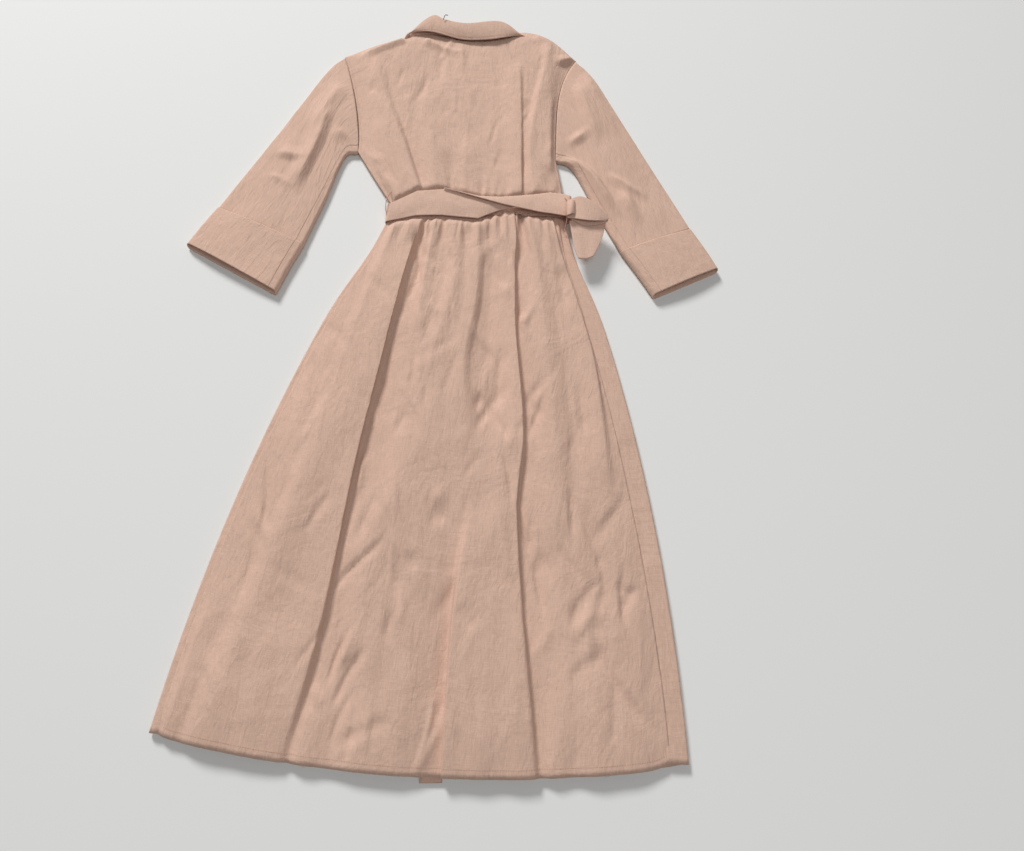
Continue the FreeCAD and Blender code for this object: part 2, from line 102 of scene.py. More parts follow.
def node_edge(node, axis, values, pick):
    """The node's outermost place at each value of one axis; pick is min or max."""
    points = node_points(node)
    ends = np.array([tuple(e.vertices) for e in frame["nodes"][node].data.edges])
    a, b = points[ends[:, 0]], points[ends[:, 1]]
    other = 1 - axis
    line = []
    for value in values:
        gap = b[:, axis] - a[:, axis]
        hit = ((a[:, axis] - value) * (b[:, axis] - value) <= 0) & (np.abs(gap) > 1e-9)
        t = (value - a[hit, axis]) / gap[hit]
        place = a[hit, other] + t * (b[hit, other] - a[hit, other])
        line.append((float(pick(place)), value) if axis == 1 else (value, float(pick(place))))
    return line


def box_size(node):
    low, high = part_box(node)
    return high - low

# %% [markdown]
# ## Curves and patches
# A smooth curve joins a few points. Four such curves bound a Coons patch, the blend of opposite
# edges that a dressmaker's panel also is: two sides, a top and a bottom.

# %% Smooth curve through a few points
LINE_POINTS = 160


def smooth_curve(points, samples=LINE_POINTS):
    """Points evenly spaced along a Catmull-Rom curve through the given ones."""
    p = np.array(points, float)
    if len(p) == 2:
        return np.linspace(p[0], p[1], samples)
    ends = np.vstack([2 * p[0] - p[1], p, 2 * p[-1] - p[-2]])
    t = np.linspace(0, len(p) - 1, samples * 4)
    i = np.minimum(t.astype(int), len(p) - 2)
    f = (t - i)[:, None]
    a, b, c, d = ends[i], ends[i + 1], ends[i + 2], ends[i + 3]
    curve = 0.5 * (2 * b + (c - a) * f + (2 * a - 5 * b + 4 * c - d) * f**2 + (3 * b - a - 3 * c + d) * f**3)
    return spaced(curve, samples)


def spaced(curve, samples):
    """The same line with its points at even distances."""
    length = np.concatenate([[0], np.cumsum(np.linalg.norm(np.diff(curve, axis=0), axis=1))])
    even = np.linspace(0, length[-1], samples)
    return np.stack([np.interp(even, length, curve[:, k]) for k in range(curve.shape[1])], axis=1)


def joined(*curves, samples=LINE_POINTS):
    return spaced(np.vstack(curves), samples)


def along(curve, t):
    """Points of a curve at shares t of its length."""
    at = np.linspace(0, 1, len(curve))
    return np.stack([np.interp(t, at, curve[:, k]) for k in range(curve.shape[1])], axis=-1)


# %% [markdown]
# Two sides, a top and a bottom are all that a panel's plan needs. The blend adds the two ways of
# joining opposite edges, and takes away the corners, which would otherwise count twice.

# %% Coons patch between four curves
def patch(left, right, bottom, top):
    """Gives a function from (u across, v up) to points in the plane."""

    def place(u, v):
        u1, v1 = u[..., None], v[..., None]
        sides = (1 - u1) * along(left, v) + u1 * along(right, v)
        ends = (1 - v1) * along(bottom, u) + v1 * along(top, u)
        corners = (1 - u1) * (1 - v1) * left[0] + u1 * (1 - v1) * right[0]
        corners = corners + (1 - u1) * v1 * left[-1] + u1 * v1 * right[-1]
        return sides + ends - corners

    return place


def on_panel(plan, *shares):
    """Turns places given as (share across, share down) of a panel into metres."""
    across, down = np.array(shares, float).T
    return [tuple(p) for p in plan(across, 1 - down)]


def shifted(route, x):
    return [(px + x, py) for px, py in route]


# %% [markdown]
# ## Folds
# A fold has a crest that follows a route. Its height falls away like a tent on each side, because
# linen breaks into flat facets. The two sides may differ, which gives the soft slope and the sharp
# drop of cloth that has slid over itself. A lean moves the crest sideways. When the lean is larger
# than the narrow side is wide, the crest hangs over and makes a real undercut with its own shadow.

# %% Press folds into a panel
ROUTE_POINTS = 40
CREST_ROUNDING = 0.03  # keeps the very top of a crest from being a knife edge
SLOPE_REACH = 1.7  # a slope has died away at this many of its widths


def fold(route, left, right, height, lean=0.0, ends=(0.0, 0.0), sharp=1.35):
    """Widths, height and lean in millimetres; ends are the lengths over which it fades in metres."""
    return {"route": route, "left": left, "right": right, "height": height, "lean": lean, "ends": ends,
            "sharp": sharp}


def spread_values(value, count):
    """One value, or one for each route point, as values along the route."""
    values = np.atleast_1d(np.array(value, float)) * MM
    return np.interp(np.linspace(0, 1, count), np.linspace(0, 1, len(values)), values)


def press(x, y, z, folds):
    """Moves the points of a panel by every fold, and returns them."""
    flat = np.stack([x, y], axis=-1).reshape(-1, 2)
    shift = np.zeros_like(flat)
    rise = np.zeros(len(flat))
    for f in folds:
        route = smooth_curve(f["route"], ROUTE_POINTS)
        steps = np.concatenate([[0], np.cumsum(np.linalg.norm(np.diff(route, axis=0), axis=1))])
        facts = [f[k] for k in ("left", "right", "height", "lean")]
        left, right, height, lean = (spread_values(value, ROUTE_POINTS) for value in facts)
        reach = 3 * max(left.max(), right.max())
        near = np.all((flat > route.min(0) - reach) & (flat < route.max(0) + reach), axis=1)
        points = flat[near]
        best = np.full(len(points), 1e9)
        at = np.zeros(len(points))
        side = np.zeros(len(points))
        across = np.zeros((len(points), 2))
        for k in range(len(route) - 1):
            a, d = route[k], route[k + 1] - route[k]
            size = np.linalg.norm(d)
            d = d / size
            first = 0 if k else -reach
            last = size if k < len(route) - 2 else size + reach
            along_it = np.clip((points - a) @ d, first, last)
            gap = points - a - along_it[:, None] * d
            distance = np.hypot(gap[:, 0], gap[:, 1])
            closer = distance < best
            normal = np.array([-d[1], d[0]])
            best[closer] = distance[closer]
            at[closer] = (steps[k] + along_it)[closer]
            side[closer] = (gap @ normal)[closer]
            across[closer] = normal
        share = np.clip(at / steps[-1], 0, 1)
        index = np.linspace(0, 1, ROUTE_POINTS)
        wide = np.where(side > 0, np.interp(share, index, right), np.interp(share, index, left))
        ridge = np.sqrt((side / wide) ** 2 + CREST_ROUNDING) - 0.17
        bell = np.clip(1 - ridge / SLOPE_REACH, 0, 1) ** f["sharp"]
        for fade, from_end in zip(f["ends"], (at, steps[-1] - at)):
            if fade > 0:
                ramp = np.clip(from_end / fade, 0, 1)
                bell = bell * ramp * ramp * (3 - 2 * ramp)
        rise[near] += bell * np.interp(share, index, height)
        shift[near] += across * (bell * np.interp(share, index, lean))[:, None]
    shift, rise = shift.reshape(*x.shape, 2), rise.reshape(x.shape)
    return x + shift[..., 0], y + shift[..., 1], z + rise


def pressed(x, y, z, folds, hold):
    """Presses folds into cloth; where hold is 0 a seam keeps it still."""
    x2, y2, z2 = press(x, y, z, folds)
    return x + (x2 - x) * hold, y + (y2 - y) * hold, z + (z2 - z) * hold


# %% [markdown]
# Worn linen also carries creases that are too small and too many to place one by one. Noise gives
# them: ridged noise for the sharp crumples, and plain noise for the soft swells.

# %% Crumple, the small irregular creases of worn linen
def crumple(x, y, seed, size=0.05, stretch=(1.0, 0.45)):
    """Ridged noise, from 0 to about 1, longer along the dress than across it."""
    points = np.stack([x * stretch[0], y * stretch[1]], axis=-1).reshape(-1, 2) / size
    values = [
        noise.ridged_multi_fractal(Vector((px + seed, py - seed, seed * 0.37)), 0.9, 2.1, 3, 0.95, 1.6)
        for px, py in points
    ]
    return np.array(values).reshape(x.shape) / 2.0


def ripple(x, y, seed, size=0.1, stretch=(1.0, 0.35)):
    """Soft noise, from -1 to 1."""
    points = np.stack([x * stretch[0], y * stretch[1]], axis=-1).reshape(-1, 2) / size
    values = [noise.noise(Vector((px + seed, py + seed * 1.7, seed))) for px, py in points]
    return np.array(values).reshape(x.shape)


def uneven(x, y, swells, crumples):
    """Adds up ripples and crumples; each one is (height in millimetres, seed, size, stretch)."""
    total = np.zeros(x.shape)
    for make, layers in ((ripple, swells), (crumple, crumples)):
        for height, seed, size, stretch in layers:
            total = total + height * MM * make(x, y, seed, size, stretch)
    return total


# %% [markdown]
# ## From a grid to a piece of cloth
# Every panel is one grid from `bmesh.ops.create_grid`. Its vertices are moved to their places, and
# a UV map in metres is laid along the moved cloth, so that the weave keeps its true size on every
# fold. The Solidify modifier gives it the cloth's thickness.

# %% Make one cloth piece
def cloth_piece(name, columns, rows, shape, material, thickness=cloth_thickness, closed=False, turn=False):
    """shape takes (u, v) arrays and gives x, y, z arrays of the same size."""
    bm = bmesh.new()
    bmesh.ops.create_grid(bm, x_segments=columns, y_segments=rows, size=0.5)
    bm.verts.ensure_lookup_table()
    co = np.array([v.co for v in bm.verts])
    order = np.lexsort((np.round(co[:, 0], 5), np.round(co[:, 1], 5)))
    u, v = (co[order, k].reshape(rows + 1, columns + 1) + 0.5 for k in (0, 1))
    points = np.stack(shape(u, v), axis=-1)
    across = np.linalg.norm(np.diff(points, axis=1), axis=2)
    upward = np.linalg.norm(np.diff(points, axis=0), axis=2)
    map_u = np.concatenate([np.zeros((rows + 1, 1)), np.cumsum(across, axis=1)], axis=1)
    map_u -= map_u[:, [columns // 2]]
    map_v = np.concatenate([np.zeros((1, columns + 1)), np.cumsum(upward, axis=0)], axis=0)
    flat_map = {}
    for k, index in enumerate(order):
        bm.verts[index].co = points.reshape(-1, 3)[k]
        flat_map[index] = (map_u.flat[k], map_v.flat[k])
    layer = bm.loops.layers.uv.new("cloth")
    for face in bm.faces:
        for loop in face.loops:
            loop[layer].uv = flat_map[loop.vert.index]
    if closed:
        bmesh.ops.remove_doubles(bm, verts=bm.verts, dist=1e-6)
    if turn:
        bmesh.ops.reverse_faces(bm, faces=bm.faces)
    for face in bm.faces:
        face.smooth = True
    mesh = bpy.data.meshes.new(name)
    bm.to_mesh(mesh)
    bm.free()
    mesh.materials.append(material)
    piece = bpy.data.objects.new(name, mesh)
    bpy.context.scene.collection.objects.link(piece)
    if thickness:
        wall = piece.modifiers.new("cloth", "SOLIDIFY")
        wall.thickness = thickness
        wall.offset = -1
    return piece


def finish_cloth(piece, body, cut, replaced=(), slot="linen", held="laid", rests_on=("table",), other=None):
    """Rides the piece on its body, or bakes its place in when a joint is given, and hides the parts it
    replaces; the cut (width, length and, where it tapers, the share it fills) is not used.
    """
    if other:
        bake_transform(piece)
    else:
        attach(piece, body)
    if replaced:
        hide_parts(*replaced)


def tapered(wide, narrow, length):
    """The cut of a panel whose ends differ in width."""
    return (wide, length, (wide + narrow) / (2 * wide))


# %% [markdown]
# ## Linen
# Plain-weave linen is matt, with threads that thicken into slubs along warp and weft. The group
# makes the weave from two crossed waves, the slubs from noise drawn out along each direction, and
# a slow drift of the dye. It puts out a colour, a roughness and a height, and the shader stays in
# the material.

# %% Node helpers
def add_node(tree, kind, **values):
    node = tree.nodes.new(kind)
    for name, value in values.items():
        if name in node.inputs:
            node.inputs[name].default_value = value
        else:
            setattr(node, name, value)
    return node


def link(tree, source, target):
    tree.links.new(source, target)


def math_node(tree, operation, first, second=None, third=None):
    node = tree.nodes.new("ShaderNodeMath")
    node.operation = operation
    for socket, value in zip(node.inputs, (first, second, third)):
        if value is None:
            continue
        if isinstance(value, (int, float)):
            socket.default_value = value
        else:
            link(tree, value, socket)
    return node.outputs[0]


# %% [markdown]
# A node group is built once and stands in every cloth material, each with its own values. Its
# sockets are made with `interface.new_socket`.

# %% The weave group
WEAVE_INPUTS = {"Map": "Vector", "Colour": "Color", "Thread pitch": "Float", "Slub strength": "Float"}
WEAVE_OUTPUTS = {"Colour": "Color", "Roughness": "Float", "Height": "Float"}


def weave_group():
    tree = bpy.data.node_groups.new("linen_weave", "ShaderNodeTree")
    for name, kind in WEAVE_INPUTS.items():
        tree.interface.new_socket(name, in_out="INPUT", socket_type=f"NodeSocket{kind}")
    for name, kind in WEAVE_OUTPUTS.items():
        tree.interface.new_socket(name, in_out="OUTPUT", socket_type=f"NodeSocket{kind}")
    given = tree.nodes.new("NodeGroupInput")
    result = tree.nodes.new("NodeGroupOutput")
    split = tree.nodes.new("ShaderNodeSeparateXYZ")
    link(tree, given.outputs["Map"], split.inputs[0])
    turns = math_node(tree, "DIVIDE", 2 * math.pi, given.outputs["Thread pitch"])
    warp = math_node(tree, "SINE", math_node(tree, "MULTIPLY", split.outputs[0], turns))
    weft = math_node(tree, "SINE", math_node(tree, "MULTIPLY", split.outputs[1], turns))
    weave = math_node(tree, "MULTIPLY", warp, weft)

    def slubs(stretch, seed):
        place = add_node(tree, "ShaderNodeMapping")
        place.inputs["Scale"].default_value = stretch
        place.inputs["Location"].default_value = (seed, seed * 2, 0)
        link(tree, given.outputs["Map"], place.inputs["Vector"])
        speckle = add_node(tree, "ShaderNodeTexNoise", Scale=1.0, Detail=3.0, Roughness=0.62)
        link(tree, place.outputs[0], speckle.inputs["Vector"])
        return speckle.outputs["Fac"]

    along_warp = slubs((900.0, 75.0, 1.0), 3.1)
    along_weft = slubs((65.0, 980.0, 1.0), 7.9)
    slub = math_node(tree, "ADD", along_warp, along_weft)
    slub = math_node(tree, "SUBTRACT", slub, 1.0)
    slub = math_node(tree, "MULTIPLY", slub, given.outputs["Slub strength"])
    drift_noise = add_node(tree, "ShaderNodeTexNoise", Scale=5.0, Detail=4.0, Roughness=0.6)
    link(tree, given.outputs["Map"], drift_noise.inputs["Vector"])
    drift = math_node(tree, "MULTIPLY", math_node(tree, "SUBTRACT", drift_noise.outputs["Fac"], 0.5), 0.2)
    shade = math_node(tree, "ADD", math_node(tree, "MULTIPLY", weave, 0.07), 1.0)
    shade = math_node(tree, "ADD", shade, slub)
    shade = math_node(tree, "ADD", shade, drift)
    tint = add_node(tree, "ShaderNodeVectorMath", operation="SCALE")
    link(tree, given.outputs["Colour"], tint.inputs[0])
    link(tree, shade, tint.inputs["Scale"])
    link(tree, tint.outputs[0], result.inputs["Colour"])
    rough = math_node(tree, "ADD", math_node(tree, "MULTIPLY", slub, -0.25), 0.86)
    link(tree, rough, result.inputs["Roughness"])
    height = math_node(tree, "ADD", math_node(tree, "MULTIPLY", weave, 0.5), slub)
    link(tree, height, result.inputs["Height"])
    return tree


LINEN_WEAVE = weave_group()
print(LINEN_WEAVE.name, "has", len(LINEN_WEAVE.nodes), "nodes")


# %% [markdown]
# The linen has a soft sheen from loose fibre ends. Creases too small for the mesh come from a
# second bump, whose noise is bent by another noise so that its ridges wander.

# %% Linen material
def linen_material(name, colour, slub=0.42, crease=0.6):
    material = bpy.data.materials.new(name)
    material.use_nodes = True
    tree = material.node_tree
    shader = tree.nodes["Principled BSDF"]
    coordinates = add_node(tree, "ShaderNodeUVMap")
    coordinates.uv_map = "cloth"
    weave = tree.nodes.new("ShaderNodeGroup")
    weave.node_tree = LINEN_WEAVE
    weave.inputs["Thread pitch"].default_value = 0.7 * MM
    weave.inputs["Slub strength"].default_value = slub
    weave.inputs["Colour"].default_value = (*colour, 1.0)
    link(tree, coordinates.outputs[0], weave.inputs["Map"])
    link(tree, weave.outputs["Colour"], shader.inputs["Base Color"])
    link(tree, weave.outputs["Roughness"], shader.inputs["Roughness"])
    fine = add_node(tree, "ShaderNodeBump", Strength=0.35, Distance=0.0002)
    link(tree, weave.outputs["Height"], fine.inputs["Height"])
    wander = add_node(tree, "ShaderNodeTexNoise", Scale=9.0, Detail=5.0, Roughness=0.55, Distortion=1.2)
    link(tree, coordinates.outputs[0], wander.inputs["Vector"])
    creases = add_node(tree, "ShaderNodeBump", Strength=crease, Distance=0.006)
    link(tree, wander.outputs["Fac"], creases.inputs["Height"])
    link(tree, fine.outputs["Normal"], creases.inputs["Normal"])
    drawn = add_node(tree, "ShaderNodeMapping")
    drawn.inputs["Scale"].default_value = (95.0, 22.0, 1.0)
    link(tree, coordinates.outputs[0], drawn.inputs["Vector"])
    streaks = add_node(tree, "ShaderNodeTexNoise", Scale=1.0, Detail=4.0, Roughness=0.6, Distortion=0.8)
    link(tree, drawn.outputs[0], streaks.inputs["Vector"])
    crinkle = add_node(tree, "ShaderNodeBump", Strength=crease, Distance=0.0026)
    link(tree, streaks.outputs["Fac"], crinkle.inputs["Height"])
    link(tree, creases.outputs["Normal"], crinkle.inputs["Normal"])
    link(tree, crinkle.outputs["Normal"], shader.inputs["Normal"])
    shader.inputs["Sheen Weight"].default_value = 0.06
    shader.inputs["Sheen Roughness"].default_value = 0.6
    shader.inputs["Specular IOR Level"].default_value = 0.12
    return material


LINEN = (0.670, 0.450, 0.350)
linen = linen_material("dusty_pink_linen", LINEN)
linen_belt = linen_material("belt_linen", (0.69, 0.465, 0.365), slub=0.45, crease=0.35)
print("linen materials made")

# %% [markdown]
# ## The back of the skirt
# This is the largest panel and it carries most of the folds. The long ones start in the gathers
# under the belt and run down to the hem. Two of them have slid over their neighbour.

# %% Skirt outline
corner_left_y = tip("back_skirt", -1, -0.02)[1]
corner_right_y = tip("back_skirt", 1, -0.02)[1]
belt_pull = 9 * MM  # the tied belt draws the sides in just below it
belt_pull_drop, belt_pull_reach = 0.08, 0.07  # how far below the waist, and over what height
skirt_rows_left = np.linspace(waist_y - 1 * MM, corner_left_y + 1 * MM, 40)
skirt_rows_right = np.linspace(waist_y - 1 * MM, corner_right_y + 1 * MM, 40)


def drawn_in(line):
    """Pulls a side inward a little below the waist."""
    points = np.array(line)
    pull = belt_pull * np.exp(-(((waist_y - points[:, 1] - belt_pull_drop) / belt_pull_reach) ** 2))
    points[:, 0] -= np.sign(points[:, 0]) * pull
    return smooth_curve(points)


outline_left = drawn_in(node_edge("back_skirt", 1, skirt_rows_left, np.min))
outline_right = drawn_in(node_edge("back_skirt", 1, skirt_rows_right, np.max))
waist_left, waist_right = outline_left[0][0], outline_right[0][0]
way_down = np.linspace(0, 1, LINE_POINTS)
inset_left = np.interp(way_down, (0, 0.1, 1), (3 * MM, 9 * MM, 11 * MM))
inset_right = np.interp(way_down, (0, 0.25, 0.6, 1), (10 * MM, 30 * MM, 30 * MM, 25 * MM))
seam_left = outline_left + np.stack([inset_left, np.zeros(LINE_POINTS)], axis=1)
seam_right = outline_right - np.stack([inset_right, np.zeros(LINE_POINTS)], axis=1)
hem_steps = np.linspace(seam_left[-1][0] + 30 * MM, seam_right[-1][0] - 30 * MM, 9)
hem_inner = node_edge("back_skirt", 0, hem_steps, np.min)
hem_curve = smooth_curve([tuple(seam_left[-1]), *hem_inner, tuple(seam_right[-1])])
waist_middle = 0.5 * (waist_left + waist_right)
waist_curve = smooth_curve([tuple(seam_left[0]), (waist_middle, waist_y - 4 * MM), tuple(seam_right[0])])
skirt_patch = patch(seam_left[::-1], seam_right[::-1], hem_curve, waist_curve)
print(f"waist from {waist_left:.3f} to {waist_right:.3f}")
print(f"hem from {hem_curve[0][0]:.3f} to {hem_curve[-1][0]:.3f}")


def skirt_route(*shares):
    return on_panel(skirt_patch, *shares)


# %% [markdown]
# The routes below run from the waist to the hem. Left and right are the widths of the two slopes.

# %% Long folds of the back skirt
LEFT_PLEAT = skirt_route((0.16, 0), (0.20, 0.2), (0.24, 0.5), (0.26, 0.8), (0.24, 1))
RIGHT_PLEAT = skirt_route((0.72, 0), (0.70, 0.25), (0.71, 0.45), (0.69, 0.62), (0.73, 1))
HEM_STEP = skirt_route((0.60, 0.55), (0.57, 0.75), (0.57, 1))
LONG_FOLDS = [
    # the pleat left of the middle, which has slid to the right over its neighbour
    fold(LEFT_PLEAT, left=(14, 24, 30, 40), right=(4, 5, 6, 9), height=(3, 7, 6, 4), lean=(5, 11, 9, 3),
         sharp=1.2),
    # the pleat right of the middle
    fold(RIGHT_PLEAT, left=(12, 22, 30, 30), right=(4, 5, 5, 7), height=(3, 6, 4, 4), lean=(5, 9, 6, 3),
         sharp=1.2),
    # the short step at the hem, which overlaps to the left
    fold(HEM_STEP, left=(12, 5, 4), right=(30, 36, 40), height=(2, 6, 8), lean=(0, -8, -9),
         ends=(0.08, 0), sharp=1.2),
    # the long crease of the left lobe
    fold(skirt_route((0.04, 0), (0.12, 0.3), (0.14, 0.55), (0.12, 0.8), (0.09, 1)),
         left=(8, 12, 14, 18), right=(12, 24, 34, 40), height=(2, 6, 9, 11), lean=(0, -2, -3, -3)),
    # a second crease between it and the pleat
    fold(skirt_route((0.18, 0.1), (0.20, 0.3), (0.16, 0.55), (0.12, 0.8)),
         left=(14, 18, 20), right=(10, 14, 18), height=(2, 7, 5), ends=(0.05, 0.10)),
    # the ridge just inside the right side seam
    fold(skirt_route((0.92, 0), (0.97, 0.2), (0.97, 0.35), (0.94, 0.6)),
         left=(14, 22, 30), right=(5, 6, 9), height=(3, 7, 6, 3), lean=(4, 6, 2), ends=(0, 0.1)),
]
SOFT_FOLDS = [
    fold(skirt_route((0.26, 0), (0.32, 0.2), (0.38, 0.3)), left=(6, 10), right=(8, 12), height=(6, 9, 3),
         ends=(0, 0.06)),
    fold(skirt_route((0.35, 0), (0.44, 0.15), (0.42, 0.3), (0.40, 0.45)), left=(7, 14), right=(9, 18),
         height=(6, 9, 3), ends=(0, 0.10)),
    fold(skirt_route((0.52, 0), (0.55, 0.18), (0.53, 0.34), (0.58, 0.46)), left=(10, 20), right=(6, 8),
         height=(6, 9, 3), ends=(0, 0.10)),
    fold(skirt_route((0.50, 0.3), (0.41, 0.52), (0.27, 0.76)), left=(18, 26), right=(36, 50),
         height=(2, 7, 4), ends=(0.08, 0.10)),
    fold(skirt_route((0.84, 0), (0.83, 0.3), (0.82, 0.5), (0.86, 0.62)), left=(8, 18), right=(8, 18),
         height=(5, 7, 4), ends=(0, 0.1)),
]
VALLEYS = [
    # the shaded hollows that the lips of the three pleats hang over
    fold(shifted(LEFT_PLEAT, 16 * MM), left=(5, 7, 7, 8), right=(20, 28, 34, 40), height=(-5, -9, -8, -5)),
    fold(shifted(RIGHT_PLEAT, 11 * MM), left=(5, 6, 6, 8), right=(16, 22, 30, 34), height=(-5, -8, -7, -6)),
    fold(shifted(HEM_STEP, -12 * MM), left=(22, 30, 32), right=6, height=(-2, -8, -9), ends=(0.08, 0)),
    # the pouch between the middle fold and the right pleat
    fold(skirt_route((0.61, 0.08), (0.62, 0.3), (0.65, 0.5)), left=(16, 26, 24), right=(16, 24, 22),
         height=(-3, -9, -9), ends=(0.07, 0.10)),
    # hollows that run towards the hem
    fold(skirt_route((0.30, 0.6), (0.38, 0.68), (0.52, 0.82)), left=14, right=24, height=(-1, -5, -3),
         ends=(0.04, 0.08)),
    fold(skirt_route((0.82, 0.52), (0.90, 0.70), (0.86, 0.78), (0.80, 0.83)), left=5, right=14,
         height=(-1, -4, -4, -2), ends=(0.05, 0.05)),
    fold(skirt_route((0.86, 0.8), (0.90, 0.87), (0.97, 0.95)), left=9, right=6, height=(-3, -5, -3),
         ends=(0.03, 0.03)),
    fold(skirt_route((0.92, 0.72), (0.98, 0.75)), left=5, right=8, height=-3, ends=(0.01, 0.02)),
]
print(len(LONG_FOLDS), "long folds,", len(SOFT_FOLDS), "soft ones and", len(VALLEYS), "hollows")


# %% [markdown]
# Where a skirt has been worn and folded, short creases cross its long folds, and its hem stands in
# uneven waves. Both are made by loops with a seeded random generator.

# %% Creases and hem waves
def loose_creases(plan, count, seed, run=(0.03, 0.13), wide=(3.0, 7.0), high=3.2, low_down=0.04):
    """Short ridges and hollows, most of them near the direction in which the cloth hangs."""
    rng = random.Random(seed)
    found = []
    for _ in range(count):
        across, down = rng.uniform(0.04, 0.96), rng.uniform(low_down, 0.97)
        x, y = on_panel(plan, (across, down))[0]
        angle = math.radians(rng.gauss(90 + (0.5 - across) * 24, 24))
        half = 0.5 * rng.uniform(*run)
        bend = rng.uniform(-0.12, 0.12) * half
        step = np.array([math.cos(angle), math.sin(angle)]) * half
        turn = np.array([-math.sin(angle), math.cos(angle)]) * bend
        route = [(x + step[0], y + step[1]), (x + turn[0], y + turn[1]), (x - step[0], y - step[1])]
        height = rng.choice((1, -1, -1)) * high * rng.uniform(0.4, 1.0)
        width = rng.uniform(*wide)
        found.append(fold(route, left=width, right=width * rng.uniform(0.8, 2.2), height=height,
                          ends=(half * 0.7, half * 0.7)))
    return found


def hem_waves(seed):
    rng = random.Random(seed)
    found = []
    across = 0.02
    while across < 0.95:
        start = rng.uniform(0.72, 0.88)
        route = skirt_route((across, start), (across + rng.uniform(-0.01, 0.01), 1))
        found.append(fold(route, left=rng.uniform(12, 24), right=rng.uniform(12, 28),
                          height=(1.5, rng.uniform(4, 8)), ends=(0.08, 0)))
        across += rng.uniform(0.06, 0.12)
    return found


SKIRT_CREASES = loose_creases(skirt_patch, 130, 23, high=4.6)
HEM_WAVES = hem_waves(4)
print(len(SKIRT_CREASES), "creases and", len(HEM_WAVES), "hem waves")

# %% [markdown]
# Gathers are many small folds that all start at the waist seam. Their spacing, height and length
# come from a seeded random generator, so that they are uneven but the same on every run.

# %% Gathers under the belt
def gathers(seed, start_x, stop_x, pitch, top_y, length, height, fan=0.16):
    """Folds down from top_y; a negative length makes them run up."""
    rng = random.Random(seed)
    found = []
    x = start_x
    while x < stop_x:
        run = length * rng.uniform(0.5, 1.3)
        drift = (x - waist_middle) * fan + rng.uniform(-4, 4) * MM
        route = [(x, top_y), (x + drift * 0.4, top_y - run * 0.5), (x + drift, top_y - run)]
        wide = rng.uniform(2.6, 4.2)
        found.append(fold(route, left=(wide, wide * 2.2), right=(wide, wide * 2.2),
                          height=(height * rng.uniform(0.7, 1.2), height * 0.3),
                          lean=rng.uniform(-1.5, 1.5), ends=(0.0, abs(run) * 0.6)))
        x += pitch * rng.uniform(0.65, 1.4)
    return found


SKIRT_GATHERS = gathers(5, waist_left + 0.012, waist_right - 0.012, pitch=11.5 * MM, top_y=waist_y,
                        length=0.095, height=9.0)
print(len(SKIRT_GATHERS), "gathers")


# %% [markdown]
# The belt's course over the back is set here, because the cloth under it is pressed flat. Each list
# gives one value for each station, and values between two stations are read off a straight line.

# %% Course of the belt
STATION = (0.0, 0.15, 0.3, 0.5, 0.62, 0.8, 0.9, 1.0)  # shares of the way from left to right
CREASE = (0.6, 1.15, 1.25, 1.0, 1.0, 1.15, 1.3, 1.25)  # height of the upper edge, in belt widths
UPPER = (0.0, 0.0, 0.0, 0.1, 0.3, 0.65, 0.9, 1.0)  # share of the width that has folded over
NARROW = (0.65, 0.95, 1.0, 0.92, 0.66, 0.6, 0.7, 0.88)  # how far the lower layer is squeezed
belt_width = belt_high.y - belt_low.y
belt_left, belt_right = belt_low.x + 16 * MM, belt_high.x - 15 * MM


def belt_edges(x):
    """The lower and upper edge of the belt above a place on the back."""
    way = np.clip((x - belt_left) / (belt_right - belt_left), 0, 1)
    crease = belt_low.y + belt_width * np.interp(way, STATION, CREASE)
    upper = np.interp(way, STATION, UPPER) * belt_width
    squeezed = (belt_width - upper) * np.interp(way, STATION, NARROW)
    return crease - np.maximum(squeezed, upper), crease


print(f"belt from {belt_left:.3f} to {belt_right:.3f}, {belt_width:.3f} wide")


# %% [markdown]
# The back skirt rests on the front panels and on trapped air. Its two sides and its hem are held
# by stitching, so the folds fade out there. Where folds cross, cloth is squashed and doesn't pile up.

# %% Shape of the back skirt
def settle(z, floor, soft=1.2 * MM):
    """Keeps cloth above what lies under it, with a soft landing."""
    return floor + np.logaddexp(0, (z - floor) / soft) * soft


def under_ceiling(z, top, free=14.5 * MM):
    """Where folds cross and add up, cloth is squashed more and more as it nears its ceiling."""
    room = top - free
    over = np.maximum(z - free, 0)
    return np.where(z > free, free + room * (1 - np.exp(-over / room)), z)


def belted(x, y, z):
    """Cloth under the belt is pressed flat; it springs up again beyond the belt's edges."""
    slack = 6 * MM  # the belt can slide a little up and down
    soft = 1.6 * MM
    low, high = belt_edges(x)
    above_low = 1 / (1 + np.exp(-(y - low + slack) / soft))
    below_high = 1 / (1 + np.exp((y - high - slack) / soft))
    tight = np.minimum(z, 9.5 * MM + 0.15 * (z - 9.5 * MM))
    return z + (tight - z) * above_low * below_high


SKIRT_FOLDS = LONG_FOLDS + SOFT_FOLDS + VALLEYS + SKIRT_CREASES + HEM_WAVES + SKIRT_GATHERS
SKIRT_SWELLS = ((3.2, 11.0, 0.06, (1.0, 0.22)), (1.6, 4.0, 0.028, (1.0, 0.4)))
SKIRT_CRUMPLES = ((2.4, 2.0, 0.075, (1.0, 0.35)), (1.2, 7.0, 0.03, (0.8, 0.5)))


